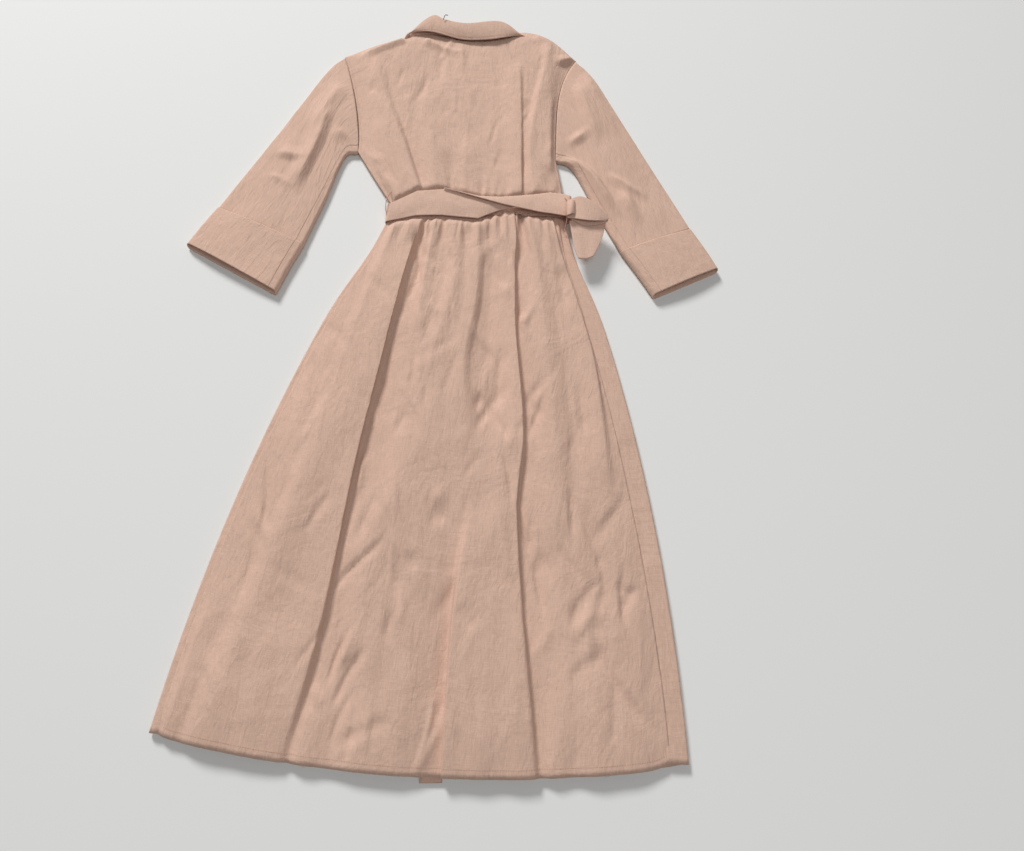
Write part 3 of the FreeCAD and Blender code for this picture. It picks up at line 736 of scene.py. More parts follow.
def back_skirt_shape(u, v):
    xy = skirt_patch(u, v)
    x, y = xy[..., 0], xy[..., 1]
    edge = np.minimum(u, 1 - u)
    body = 1 - np.exp(-((edge / 0.045) ** 1.5))
    low = 2 * side_radius + front_loft + 1 * MM
    z = low + (back_loft - low + 2.5 * MM) * body
    down = np.clip((waist_y - y) / 0.25, 0, 1)
    strength = body * (0.35 + 0.65 * down)
    narrow_top = 1 - 0.35 * np.clip(1 - down, 0, 1)
    z = low + (z - low) * narrow_top
    z = z + strength * uneven(x, y, SKIRT_SWELLS, SKIRT_CRUMPLES)
    x, y, z = pressed(x, y, z, SKIRT_FOLDS, np.clip(edge / 0.02, 0, 1))
    z = settle(z, front_loft + 1.8 * MM)
    z = under_ceiling(z, skirt_high.z + 2 * MM)
    flat_hem = np.clip(1 - v / 0.10, 0, 1) ** 2
    z = z - 0.28 * flat_hem * (z - front_loft - 2 * MM)
    return x, y, belted(x, y, z)


back_skirt = cloth_piece("back_skirt_cloth", 280, 124, back_skirt_shape, linen)
gather_fullness = 1.6  # cloth at the waist, as a multiple of the finished waist
skirt_cut_length = waist_y - hem_y + hem_depth
back_hem_cut = box_size("back_skirt").x + 2 * seam_allowance
back_cut = tapered(back_hem_cut, gather_fullness * (waist_right - waist_left), skirt_cut_length)
finish_cloth(back_skirt, BODY, back_cut, ["back_skirt"], held="gathered",
             rests_on=["right_front_skirt_cloth"])


# %% [markdown]
# ## The front panels
# The front lies on the table. Each panel starts at the button band, runs flat to the side, turns
# over on a small radius, and comes up to the side seam, which rests on the upper face.

# %% A panel that wraps round its side
FLAT_PART, TURN_PART, BACK_PART = 1.6, 0.6, 0.8  # how the columns of the grid are shared out
ALL_PARTS = FLAT_PART + TURN_PART + BACK_PART
FLAT_SHARE = FLAT_PART / ALL_PARTS


def table_height(x):
    """How high front cloth lies: on the table at the sides, and on the buttons at the centre."""
    return 1.5 * MM + 2.9 * MM * np.exp(-(((x - 14 * MM) / 0.045) ** 2))


def wrapped(centre, outline, seam, radius, seam_height):
    """Gives (u, v) to x, y, z: flat from centre to outline, round it, and back over to the seam."""

    def shape(u, v):
        c, o, s = along(centre, v), along(outline, v), along(seam, v)
        r = np.interp(v, np.linspace(0, 1, len(radius)), radius)
        reach = np.linalg.norm(o - c, axis=-1)
        way = (o - c) / reach[..., None]
        flat = reach - r
        part = u * ALL_PARTS
        on_flat = np.clip(part / FLAT_PART, 0, 1)
        turn = np.clip((part - FLAT_PART) / TURN_PART, 0, 1) * math.pi
        back = np.clip((part - FLAT_PART - TURN_PART) / BACK_PART, 0, 1)
        out = on_flat * flat + r * np.sin(turn)
        xy = c + way * out[..., None]
        xy = xy + (s - (c + way * flat[..., None])) * back[..., None]
        base = table_height(xy[..., 0])
        z = base + r * (1 - np.cos(turn))
        z = z + (seam_height - z) * back
        return xy[..., 0], xy[..., 1], z

    return shape


SEAM_HEIGHT = 2 * side_radius + front_loft + 0.1 * MM
edge_radius = [side_radius, side_radius, side_radius * 0.9]
front_fullness = 1.5  # cloth at the waist, as a multiple of the finished width


def front_hem(side, outline):
    """The hem of a front panel, from its centre edge out to the side."""
    name = f"{SIDE_NAME[side]}_front_skirt"
    low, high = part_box(name)
    centre_x = high.x - 1 * MM if side == LEFT else low.x + 1 * MM
    steps = np.linspace(centre_x, outline[-1][0] - side * 30 * MM, 7)
    return smooth_curve([*node_edge(name, 0, steps, np.min), tuple(outline[-1])])


def front_skirt(side, outline, seam, columns=150, rows=110):
    hem_line = front_hem(side, outline)
    start = hem_line[0][0]
    centre = smooth_curve([(start, hem_line[0][1]), (start, 0.0), (start, waist_y - 4 * MM)])
    tucked_seam = seam - np.array([side * 2.5 * MM, 0.0])
    base_shape = wrapped(centre, outline[::-1], tucked_seam[::-1], edge_radius, SEAM_HEIGHT)

    def shape(u, v):
        x, y, z = base_shape(u, v)
        low = np.clip(1 - v / 0.3, 0, 1) ** 2
        drop = along(hem_line, np.clip(u / FLAT_SHARE, 0, 1))[..., 1]
        line = hem_line[0][1] + (hem_line[-1][1] - hem_line[0][1]) * np.clip(u / FLAT_SHARE, 0, 1)
        y = y + (drop - line) * low
        over = np.clip((u - 0.74) / 0.26, 0, 1)
        pucker = np.sin(y * 2 * math.pi / 0.017 + 2.0 * ripple(x, y, 3.0, 0.05))
        z = z + over * 0.5 * MM * pucker
        z = z + over * (1 - over) * 5.6 * MM * ripple(x, y, 8.0, 0.04, (1, 0.6))
        return x, y, z

    name = f"{SIDE_NAME[side]}_front_skirt"
    piece = cloth_piece(f"{name}_cloth", columns, rows, shape, linen, turn=side == RIGHT)
    waist_end, inset = (waist_right, inset_right) if side == RIGHT else (waist_left, inset_left)
    waist_cut = front_fullness * (abs(waist_end) - abs(start))
    hem_cut = box_size(name).x + 2 * seam_allowance + inset.max()
    finish_cloth(piece, BODY, tapered(hem_cut, waist_cut, skirt_cut_length), [name])
    return shape


left_skirt_shape = front_skirt(LEFT, outline_left, seam_left)
right_skirt_shape = front_skirt(RIGHT, outline_right, seam_right)


# %% [markdown]
# ## Bands
# Hems, seam allowances, the stay at the waist and the button bands are narrow strips. Each one is
# a grid stretched between two edges. The edges are read from the shapes of the panels, so a hem
# follows every fold that it is turned up on.

# %% A strip between two edges
def strip(name, edge_a, edge_b, cut, replaced, material=linen, rows=3, thickness=0.5 * MM, **facts):
    a, b = np.array(edge_a), np.array(edge_b)

    def shape(u, v):
        w = v[..., None]
        points = (1 - w) * along(a, u) + w * along(b, u)
        return points[..., 0], points[..., 1], points[..., 2]

    piece = cloth_piece(name, min(len(a) - 1, 400), rows, shape, material, thickness)
    finish_cloth(piece, facts.pop("body", BODY), cut, replaced, **facts)


def edge_of(shape, u=None, v=None, samples=280, lower=0.0):
    """A line of points on a panel, at one u or one v, a little below its face."""
    t = np.linspace(0, 1, samples)
    us = t if u is None else np.full(samples, u)
    vs = t if v is None else np.full(samples, v)
    x, y, z = shape(us[None, :], vs[None, :])
    return np.stack([x[0], y[0], z[0] - lower], axis=-1)


# %% [markdown]
# A hem is the raw edge turned up and stitched down. It is a strip of its own, because it shows from
# below and doubles the cloth at the edge.

# %% Hems
HEM_SHARE = hem_depth / (waist_y - hem_y)
HEM_FOLD = 0.001  # just inside the lower edge of a panel
back_low = edge_of(back_skirt_shape, v=HEM_FOLD, lower=0.6 * MM)
back_high = edge_of(back_skirt_shape, v=HEM_SHARE, lower=0.6 * MM)
strip("back_hem_cloth", back_low, back_high, (box_size("back_skirt").x, hem_depth), ["back_hem"],
      held="folded", thickness=0.35 * MM, rests_on=["back_skirt_cloth"])
for side_name, front_shape in (("left", left_skirt_shape), ("right", right_skirt_shape)):
    low_edge = edge_of(front_shape, v=HEM_FOLD, lower=-0.6 * MM)
    high_edge = edge_of(front_shape, v=HEM_SHARE, lower=-0.6 * MM)
    keep = int(FLAT_SHARE * len(low_edge))  # the hem ends where the cloth turns up at the side
    strip(f"{side_name}_front_hem_cloth", low_edge[:keep], high_edge[:keep],
          (box_size(f"{side_name}_front_skirt").x, hem_depth), [f"{side_name}_front_hem"],
          held="folded", rests_on=[f"{side_name}_front_skirt_cloth"])

# %% [markdown]
# Inside a seam the raw edges of both panels lie together. They are seen only through the open hem
# and neck, so one leaning strip stands for the pair. A tape along the waist keeps it from stretching.

# %% Seam allowances inside the skirt
def allowance(name, seam_line, inward, replaced):
    """A raw seam edge that leans inward under the seam."""
    line = np.array(seam_line)
    inner = line + np.array([inward, 0.0, -2.5 * MM])
    line = line - np.array([0.0, 0.0, 0.9 * MM])
    size = box_size(replaced)
    cut = (math.hypot(size.x, size.y), seam_allowance)
    strip(name, line, inner, cut, [replaced], held="stretched", rests_on=["back_skirt_cloth"])


allowance("left_skirt_seam_cloth", edge_of(back_skirt_shape, u=0.0), seam_allowance, "left_skirt_seam")
allowance("right_skirt_seam_cloth", edge_of(back_skirt_shape, u=1.0), -seam_allowance, "right_skirt_seam")
waist_line = edge_of(back_skirt_shape, v=1.0, lower=1.0 * MM)
strip("waist_stay_tape", waist_line - [0, 6 * MM, 0.3 * MM], waist_line + [0, 6 * MM, -0.3 * MM],
      (box_size("waist_stay").x, box_size("waist_stay").y), ["waist_stay"], slot="tape", held="stretched",
      rests_on=["back_skirt_cloth"])

# %% [markdown]
# ## The bodice
# Back and front share one outline: the sides up to the underarms, the armholes, the shoulders and
# the neck. The back has soft diagonal folds where the belt has pulled it together.

# %% Bodice outline
neck_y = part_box("collar_stand")[0].y
neck_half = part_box("collar_stand")[1].x
shoulder_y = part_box("back_bodice")[1].y
bodice_seam_low, bodice_seam_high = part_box("left_bodice_seam")
shoulder_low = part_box("left_shoulder_seam")[0]
dropped_shoulder = 14 * MM  # the sleeve seam lies a little beyond the shoulder's end
underarm = {side: (side * abs(bodice_seam_low.x), bodice_seam_high.y) for side in (LEFT, RIGHT)}
shoulder_tip = {
    LEFT: (shoulder_low.x - dropped_shoulder, shoulder_low.y + 3 * MM),
    RIGHT: (-shoulder_low.x + dropped_shoulder / 2, shoulder_low.y + 16 * MM),
}


def armhole(side, curve):
    """From the underarm up to the shoulder; a larger curve keeps it upright for longer."""
    share = np.linspace(0, 1, 12)
    low, high = np.array(underarm[side]), np.array(shoulder_tip[side])
    x = low[0] + (high[0] - low[0]) * share**curve
    y = low[1] + (high[1] - low[1]) * share
    return smooth_curve(np.column_stack([x, y]), 100)


def bodice_side(side, waist_x, bow):
    low, high = (waist_x, waist_y), underarm[side]
    middle = (0.5 * (low[0] + high[0]) + side * bow, 0.5 * (low[1] + high[1]))
    return smooth_curve([low, middle, high], 60)


side_left = bodice_side(LEFT, waist_left + 4 * MM, 1 * MM)
side_right = bodice_side(RIGHT, waist_right - 3 * MM, 4 * MM)
armhole_left = armhole(LEFT, 1.6)
armhole_right = armhole(RIGHT, 4.0)
shoulder_line = smooth_curve([
    shoulder_tip[LEFT],
    (-1.25 * neck_half, shoulder_y - 8 * MM),
    (-0.9 * neck_half, shoulder_y + 7 * MM),
    (0.0, shoulder_y + 2 * MM),
    (0.65 * neck_half, shoulder_y + 8 * MM),
    (1.25 * neck_half, shoulder_y + 18 * MM),
    (1.75 * neck_half, shoulder_y + 3 * MM),
    shoulder_tip[RIGHT],
])
bodice_left = joined(side_left, armhole_left)
bodice_right = joined(side_right, armhole_right)
waist_up = smooth_curve([side_left[0], (waist_middle, waist_y), side_right[0]])
bodice_patch = patch(bodice_left, bodice_right, waist_up, shoulder_line)
print(f"shoulders at {shoulder_y:.3f}, underarms at {bodice_seam_high.y:.3f}")


def bodice_route(*shares):
    return on_panel(bodice_patch, *shares)


# %% [markdown]
# Some folds of the bodice hang from the shoulders, and others fan out of the belted waist.

# %% Folds of the bodice
BODICE_FOLDS = [
    fold(bodice_route((0.12, 0.05), (0.14, 0.35), (0.21, 0.6), (0.18, 0.95)),
         left=(16, 20, 20, 12), right=(10, 9, 7, 5), height=(3, 9, 15, 12), lean=(2, 3, 4, 2),
         ends=(0.06, 0)),
    fold(bodice_route((0.07, 0.4), (0.14, 0.62), (0.10, 0.95)),
         left=(8, 10, 8), right=(7, 7, 5), height=(3, 7, 9), lean=1, ends=(0.05, 0)),
    fold(bodice_route((0.05, 0.58), (0.05, 0.93)), left=6, right=6, height=(2, 6, 7), ends=(0.03, 0)),
    fold(bodice_route((0.36, 0.42), (0.36, 0.66), (0.28, 0.93)), left=14, right=16, height=(2, 7, 9),
         ends=(0.08, 0)),
    fold(bodice_route((0.53, 0.5), (0.44, 0.93)), left=12, right=16, height=(2, 5, 6), ends=(0.08, 0)),
    fold(bodice_route((0.76, 0.18), (0.79, 0.5), (0.75, 0.93)),
         left=(22, 18, 14), right=(5, 4, 4), height=(4, 8, 9, 10), lean=(1, 3, 3), ends=(0.05, 0)),
    fold(bodice_route((0.87, 0.03), (0.86, 0.6), (0.84, 0.93)),
         left=(6, 7, 8), right=(18, 18, 14), height=(4, 9, 7, 6), lean=(-1, -2, -1), ends=(0.03, 0)),
    fold(bodice_route((0.98, 0.02), (0.92, 0.12)), left=9, right=5, height=(7, 9, 5), ends=(0.0, 0.02)),
    fold(bodice_route((0.95, 0.25), (0.96, 0.5), (0.94, 0.78)), left=12, right=8, height=(3, 7, 6),
         ends=(0.05, 0.03)),
    fold(bodice_route((0.26, 0.02), (0.05, 0.03)), left=5, right=7, height=(7, 7, 3), ends=(0.01, 0.03)),
    fold(bodice_route((0.34, 0.05), (0.43, 0.10), (0.54, 0.13)), left=8, right=5, height=(6, 4, 2),
         ends=(0.01, 0.03)),
    fold(bodice_route((0.79, 0.01), (0.86, 0.04), (0.88, 0.15)), left=9, right=8, height=(4, 6, 3),
         ends=(0.01, 0.03)),
]
BODICE_CREASES = loose_creases(bodice_patch, 34, 8, run=(0.03, 0.09), wide=(3.0, 6.0), high=2.4)
BODICE_GATHERS = gathers(9, waist_left + 0.018, waist_right - 0.02, pitch=13 * MM, top_y=waist_y,
                         length=-0.085, height=4.0, fan=0.3)
BODICE_SWELLS = ((2.2, 21.0, 0.07, (1, 0.5)), (1.2, 17.0, 0.03, (1, 0.6)))
BODICE_CRUMPLES = ((1.6, 6.0, 0.07, (1.0, 0.6)), (0.9, 8.0, 0.03, (1.0, 0.8)))
print(len(BODICE_FOLDS), "placed folds,", len(BODICE_CREASES), "creases,", len(BODICE_GATHERS), "gathers")


def back_bodice_shape(u, v):
    xy = bodice_patch(u, v)
    x, y = xy[..., 0], xy[..., 1]
    edge = np.minimum(np.minimum(u, 1 - u) / 0.05, (1 - v) / 0.03)
    body = 1 - np.exp(-np.clip(edge, 0, 8) ** 1.5)
    z = 8.8 * MM + 3.6 * MM * body
    z = z + body * uneven(x, y, BODICE_SWELLS, BODICE_CRUMPLES)
    hold = np.clip(np.minimum(np.minimum(u, 1 - u) / 0.03, (1 - v) / 0.02), 0, 1)
    x, y, z = pressed(x, y, z, BODICE_FOLDS + BODICE_CREASES + BODICE_GATHERS, hold)
    z = settle(z, front_loft + 3.0 * MM)
    z = under_ceiling(z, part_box("back_bodice")[1].z + 1 * MM)
    return x, y, belted(x, y, z)


back_bodice = cloth_piece("back_bodice_cloth", 170, 140, back_bodice_shape, linen)
bodice_size = box_size("back_bodice")
bodice_cut = (bodice_size.x + 2 * seam_allowance, bodice_size.y + 2 * seam_allowance, 0.85)
finish_cloth(back_bodice, BODY, bodice_cut, ["back_bodice"], rests_on=["left_front_bodice_cloth"])

# %% [markdown]
# The front of the bodice lies against the table. Below the armhole it wraps round the side as the
# skirt's front does. Beside the sleeve it stays thin, because there is no side to turn round.

# %% Front bodice
def front_bodice(side, side_line, armhole, shoulder, start_x, columns=110, rows=110):
    outline = joined(side_line, armhole)
    centre = smooth_curve([(start_x, waist_y), (start_x, 0.40), (start_x, neck_y - 20 * MM)])
    split = 0.36  # about where the side ends and the armhole begins
    top_height = 8.2 * MM
    seam = outline - np.array([side * 4 * MM, 0.0])
    round_side, thin_side = side_radius * 0.9, 0.6 * MM
    stations = (0, split, split + 0.06, 1)
    radius = np.interp(np.linspace(0, 1, 60), stations, (round_side, round_side, thin_side, thin_side))
    heights = wrapped(centre, outline, seam, radius, top_height)

    def shape(u, v):
        x, y, z = heights(u, v)
        shoulder_lift = np.clip((v - 0.97) / 0.03, 0, 1)
        line = along(shoulder, np.clip(u / FLAT_SHARE, 0, 1))
        pull = np.clip((v - 0.6) / 0.4, 0, 1) ** 2
        straight = centre[-1][1] + (outline[-1][1] - centre[-1][1]) * np.clip(u / FLAT_SHARE, 0, 1)
        y = y + (line[..., 1] - straight) * pull
        low = 1 - np.clip((v - split) / 0.05, 0, 1)
        near = np.clip((u - 0.53) / 0.2, 0, 1)
        z = z - (z - table_height(x)) * near * (1 - low) * (1 - shoulder_lift)
        return x, y, z + (top_height - z) * shoulder_lift**0.6

    name = f"{SIDE_NAME[side]}_front_bodice"
    piece = cloth_piece(f"{name}_cloth", columns, rows, shape, linen, turn=side == RIGHT)
    size = box_size(name)
    finish_cloth(piece, BODY, (size.x + seam_allowance, size.y, 0.8), [name])


def front_shoulder(side, start_x, lift):
    """From the front neck up to the shoulder's end, under the back shoulder."""
    end = shoulder_tip[side]
    return smooth_curve([(start_x, neck_y), (side * 0.7 * neck_half, neck_y + 13 * MM + lift / 4),
                         (side * 1.1 * neck_half, shoulder_y - 9 * MM + lift),
                         (side * 1.65 * neck_half, shoulder_y - 22 * MM + lift), end])


front_start = {LEFT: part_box("left_front_bodice")[1].x, RIGHT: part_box("right_front_bodice")[0].x}
shoulder_left = front_shoulder(LEFT, front_start[LEFT], 0.0)
shoulder_right = front_shoulder(RIGHT, front_start[RIGHT], 20 * MM)
front_bodice(LEFT, side_left, armhole_left, shoulder_left, front_start[LEFT])
front_bodice(RIGHT, side_right, armhole_right, shoulder_right, front_start[RIGHT])
left_side_top = edge_of(back_bodice_shape, u=0.004)
right_side_top = edge_of(back_bodice_shape, u=0.996)
allowance("left_bodice_seam_cloth", left_side_top[:108], seam_allowance, "left_bodice_seam")
allowance("right_bodice_seam_cloth", right_side_top[:100], -seam_allowance, "right_bodice_seam")
shoulder_top = edge_of(back_bodice_shape, v=0.996, lower=0.9 * MM)
for side_name, span in (("left", slice(4, 78)), ("right", slice(202, 276))):
    line = shoulder_top[span]
    size = box_size(f"{side_name}_shoulder_seam")
    strip(f"{side_name}_shoulder_seam_cloth", line, line - [0, seam_allowance, 2 * MM],
          (math.hypot(size.x, size.y), seam_allowance), [f"{side_name}_shoulder_seam"],
          held="stretched", rests_on=["back_bodice_cloth"])


# %% [markdown]
# ## Sleeves and cuffs
# A sleeve is a tube that has settled flat. Its ring starts at the underarm seam, runs over the top
# to the outer edge, turns, comes back along the table, and turns up to the seam again.

# %% Flattened tube
OVER, TURN, UNDER, REST = 2.0, 0.45, 1.6, 0.5  # stretches of the ring, with a turn on each side
RING = OVER + TURN + UNDER + TURN + REST


def flat_tube(outer, inner, radius, crown, table_gap, seam_in=13 * MM, start=None, lip=0.0):
    """outer and inner are the edges of the tube along its length; radius is one number for each end."""

    def shape(u, v):
        o, i = along(outer, v), along(inner, v)
        width = np.linalg.norm(o - i, axis=-1)
        way = (o - i) / width[..., None]
        r = radius[0] + (radius[1] - radius[0]) * v
        part = u * RING
        over = np.clip(part / OVER, 0, 1)
        turn_out = np.clip((part - OVER) / TURN, 0, 1)
        under = np.clip((part - OVER - TURN) / UNDER, 0, 1)
        turn_in = np.clip((part - OVER - TURN - UNDER) / TURN, 0, 1)
        rest = np.clip((part - RING + REST) / REST, 0, 1)
        a = seam_in + over * (width - r - seam_in) + r * np.sin(turn_out * math.pi)
        a = a - under * (width - 2 * r) - r * np.sin(turn_in * math.pi) + rest * (seam_in - r)
        tall = (1 + np.cos(turn_out * math.pi)) / 2 + (1 - np.cos(turn_in * math.pi)) / 2
        share = np.clip(a / width, 0, 1)
        top = 2 * r + (crown[0] + (crown[1] - crown[0]) * v) * np.sin(share * math.pi) ** 0.8
        z = table_gap + tall * top
        xy = i + way * a[..., None]
        if start is not None:
            chord = inner[0] + (outer[0] - inner[0]) * share[..., None]
            xy = xy + (along(start, share) - chord) * ((1 - v) ** 2.5)[..., None]
        along_tube = along(outer, np.minimum(v + 0.01, 1)) - along(outer, v - 0.01 * (v > 0.5))
        ahead = along_tube / np.maximum(np.linalg.norm(along_tube, axis=-1), 1e-9)[..., None]
        xy = xy + ahead * (lip * v * (1 - tall))[..., None]
        return xy[..., 0], xy[..., 1], z, tall

    return shape


def sleeve(side, outer, inner, armhole_line, folds, columns=190, rows=110):
    tube = flat_tube(outer, inner, (3.4 * MM, 3.6 * MM), (3.6 * MM, 4.5 * MM), 1.5 * MM, start=armhole_line)
    swells, crumples = [(1.7, 31.0 + side, 0.06, (1, 1))], [(0.7, 5.0 + side, 0.06, (1, 0.9))]

    def shape(u, v):
        x, y, z, tall = tube(u, v)
        loose = np.clip(tall, 0, 1) ** 2 * np.clip(v / 0.06, 0, 1)
        rise = loose * uneven(x, y, swells, crumples)
        x, y, z = pressed(x, y, z, folds, loose)
        return x, y, settle(z + rise, 1.4 * MM, 0.4 * MM)

    name = f"{SIDE_NAME[side]}_sleeve"
    piece = cloth_piece(f"{name}_cloth", columns, rows, shape, linen, turn=side == LEFT)
    hinge_x, hinge_y = SWING[side]
    start = Vector((hinge_x - side * 88 * MM, hinge_y + 31 * MM, 0))
    end = Vector((hinge_x - side * 13 * MM, hinge_y - 94 * MM, 0))
    joint = {"body": f"{name}_body", "start": start, "end": end}
    upper = 2 * math.dist(underarm[side], shoulder_tip[side])
    lower = 2 * math.dist(outer[-1], inner[-1])
    length = math.dist(outer[0], outer[-1])
    cap_share = 0.75  # the rounded sleeve head is cut away from the rectangle
    finish_cloth(piece, BODY, (upper, length, cap_share * (1 + lower / upper) / 2), [name], other=joint)


# %% [markdown]
# A sleeve's edges run from the shoulder and the underarm to the two ends of the cuff's seam. Its
# folds are placed by their share across the sleeve, from the inner edge, and down it.

# %% Sleeves on their edges
SWING = {}
for joint_row in frame["record"]["behaviour"]["joints"]:
    for side in (LEFT, RIGHT):
        if joint_row["name"] == f"{SIDE_NAME[side]}_sleeve_swing":
            SWING[side] = tuple(joint_row["pos_m"][:2])
print("sleeves swing about", SWING)


def sleeve_edges(side, outer_bow, inner_bow, tuck):
    """Bows bend an edge sideways at its middle; tuck is the step in the cloth at the underarm."""
    cuff_node = f"{SIDE_NAME[side]}_cuff"
    shoulder, arm = np.array(shoulder_tip[side]), np.array(underarm[side])
    seam_out = np.array(tip(cuff_node, 0, 1))
    seam_in = np.array(tip(cuff_node, -side, 0))
    outward = np.array([side * 1.0, 0.3])
    shoulder_round = shoulder + 0.12 * (seam_out - shoulder) + outward * 9 * MM
    outer = [shoulder, shoulder_round, 0.5 * (shoulder + seam_out) + outward * outer_bow, seam_out]
    step = arm + np.array([side * tuck, -0.5 * tuck])
    inner = [arm, step, 0.45 * arm + 0.55 * seam_in + outward * inner_bow, seam_in]
    return smooth_curve(outer), smooth_curve(inner)


def sleeve_route(outer, inner, *shares):
    """Places on a sleeve as (share from inner to outer edge, share down)."""
    route = []
    for across, down in shares:
        a, b = along(inner, down), along(outer, down)
        route.append(tuple(a + (b - a) * across))
    return route


outer_left, inner_left = sleeve_edges(LEFT, 4 * MM, 7 * MM, 24 * MM)
outer_right, inner_right = sleeve_edges(RIGHT, 6 * MM, 8 * MM, 30 * MM)
LEFT_ROUTES = [
    (((0.12, 0.05), (0.25, 0.12), (0.45, 0.18)), 7, 12, (7, 9, 3)),
    (((0.60, 0.15), (0.45, 0.4), (0.40, 0.75)), (14, 16), (7, 8), (3, 9, 8, 4)),
    (((0.92, 0.62), (0.65, 0.55), (0.35, 0.42)), 7, 12, (3, 7, 3)),
    (((0.80, 0.72), (0.40, 0.68)), 7, 5, (3, 6, 4)),
    (((0.75, 0.02), (0.65, 0.25), (0.60, 0.4)), 16, 14, (4, 7, 3)),
]
RIGHT_ROUTES = [
    (((0.15, 0.05), (0.35, 0.15), (0.60, 0.22)), 8, 7, (6, 7, 3)),
    (((0.06, 0.04), (0.15, 0.35), (0.25, 0.8)), (9, 12), (6, 5), (7, 9, 8, 4)),
    (((0.35, 0.45), (0.60, 0.7), (0.80, 0.8)), 8, 7, (3, 6, 4)),
    (((0.45, 0.6), (0.40, 0.9)), 12, 7, (3, 7, 6)),
    (((0.80, 0.02), (0.60, 0.2), (0.50, 0.35)), 8, 16, (6, 7, 3)),
    (((0.95, 0.05), (0.85, 0.25), (0.80, 0.45)), 14, 12, (4, 5, 2)),
]


def sleeve_folds(outer, inner, routes):
    """Each row of routes is (shares, left, right, height), as a fold takes them."""
    folds = []
    for shares, left, right, height in routes:
        route = sleeve_route(outer, inner, *shares)
        folds.append(fold(route, left=left, right=right, height=height, ends=(0.03, 0.06)))
    return folds


left_folds = sleeve_folds(outer_left, inner_left, LEFT_ROUTES)
right_folds = sleeve_folds(outer_right, inner_right, RIGHT_ROUTES)
sleeve(LEFT, outer_left, inner_left, armhole_left, left_folds)
sleeve(RIGHT, outer_right, inner_right, armhole_right, right_folds)


# %% [markdown]
# The cuff is a double band. It is stiffer than the sleeve, so it stays smoother and its mouth
# stands a little open.

# %% Cuffs
def cuff(side, crown, columns=190, rows=50):
    name = f"{SIDE_NAME[side]}_cuff"
    seam_out, seam_in = np.array(tip(name, 0, 1)), np.array(tip(name, -side, 0))
    mouth_out, mouth_in = np.array(tip(name, side, 0)), np.array(tip(name, 0, -1))
    outer = smooth_curve([seam_out, 0.5 * (seam_out + mouth_out) + np.array([side * 1 * MM, 0]), mouth_out])
    inner = smooth_curve([seam_in, 0.5 * (seam_in + mouth_in) + np.array([side * 1 * MM, 0]), mouth_in])
    tube = flat_tube(outer, inner, (4.2 * MM, 4.6 * MM), crown, 1.9 * MM, lip=4 * MM)
    swells, crumples = [(1.2, 41.0 + side, 0.07, (1, 1))], [(0.3, 9.0 + side, 0.07, (1, 1))]

    def shape(u, v):
        x, y, z, tall = tube(u, v)
        soft = np.clip(tall, 0, 1) ** 2
        return x, y, z + soft * uneven(x, y, swells, crumples)

    piece = cloth_piece(f"{name}_cloth", columns, rows, shape, linen, thickness=1.5 * MM, turn=side == LEFT)
    band_cut = (2 * math.dist(mouth_out, mouth_in), math.dist(seam_out, mouth_out))
    finish_cloth(piece, f"{SIDE_NAME[side]}_sleeve_body", band_cut, [name])
    return shape


cuff_left_shape = cuff(LEFT, (5.5 * MM, 5.0 * MM))
cuff_right_shape = cuff(RIGHT, (5.5 * MM, 4.0 * MM))

# %% [markdown]
# ## Collar
# The stand leans outward from the neck seam and rolls over. The fall comes back over it and ends
# in a free edge, which has lifted off the back in the middle. Below, on the table, the two ends of
# the collar lie as flat leaves.

# %% Collar fall and stand
collar_low, collar_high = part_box("collar_fall")
collar_width, collar_depth = 2 * collar_high.x, collar_high.y - collar_low.y


def in_collar(*shares):
    """Places as shares of the collar's half width and of its depth."""
    places = [(collar_high.x * across, collar_low.y + collar_depth * up) for across, up in shares]
    return smooth_curve(places)


roll_line = in_collar((-0.95, 0), (-0.8, 0.3), (-0.5, 0.75), (-0.3, 0.6), (0.05, 0.5), (0.55, 0.65),
                      (0.85, 0.4), (1, 0.25))
fall_edge = in_collar((-0.95, 0), (-0.85, 0.2), (-0.5, 0.2), (0, 0), (0.5, 0.05), (0.9, 0.3), (1, 0.25))
neck_seam = in_collar((-0.95, 0), (-0.8, 0.2), (-0.5, 0.27), (0, 0.23), (0.5, 0.3), (0.9, 0.3), (1, 0.28))
HEIGHT_STEPS = [(0.0, 5.0), (0.05, 13.0), (0.2, 22.0), (0.5, 25.0), (0.8, 22.0), (0.95, 14.0), (1.0, 6.0)]
collar_span = smooth_curve(HEIGHT_STEPS, 100)


def collar_height(u):
    """Height of the roll, in metres, at a share of the way along it."""
    return np.interp(u, collar_span[:, 0], collar_span[:, 1]) * MM


def collar_fall_shape(u, v):
    roll, edge = along(roll_line, u), along(fall_edge, u)
    high = collar_height(u)
    r = 2.2 * MM * np.sin(np.clip(u, 0.02, 0.98) * math.pi) ** 0.4
    turn = np.clip(v / 0.3, 0, 1) * math.pi
    run = np.clip((v - 0.3) / 0.7, 0, 1)
    way = edge - roll
    way = way / np.maximum(np.linalg.norm(way, axis=-1), 1e-6)[..., None]
    start = roll + way * (r * (1 - np.sin(turn)))[..., None]
    xy = start + (edge - start) * run[..., None]
    z = high - r - r * np.cos(turn)
    lift = 19.5 * MM + 1.0 * MM * np.sin(u * math.pi * 3)
    low = np.minimum(lift, high - 2 * MM)
    z = z + (low - z) * run**1.4 + 1.2 * MM * np.sin(run * math.pi)
    x, y = xy[..., 0], xy[..., 1]
    return x, y, z + run * 0.8 * MM * ripple(x, y, 51.0, 0.04, (1, 1))


collar_fall = cloth_piece("collar_fall_cloth", 150, 40, collar_fall_shape, linen, thickness=1.3 * MM,
                          turn=True)
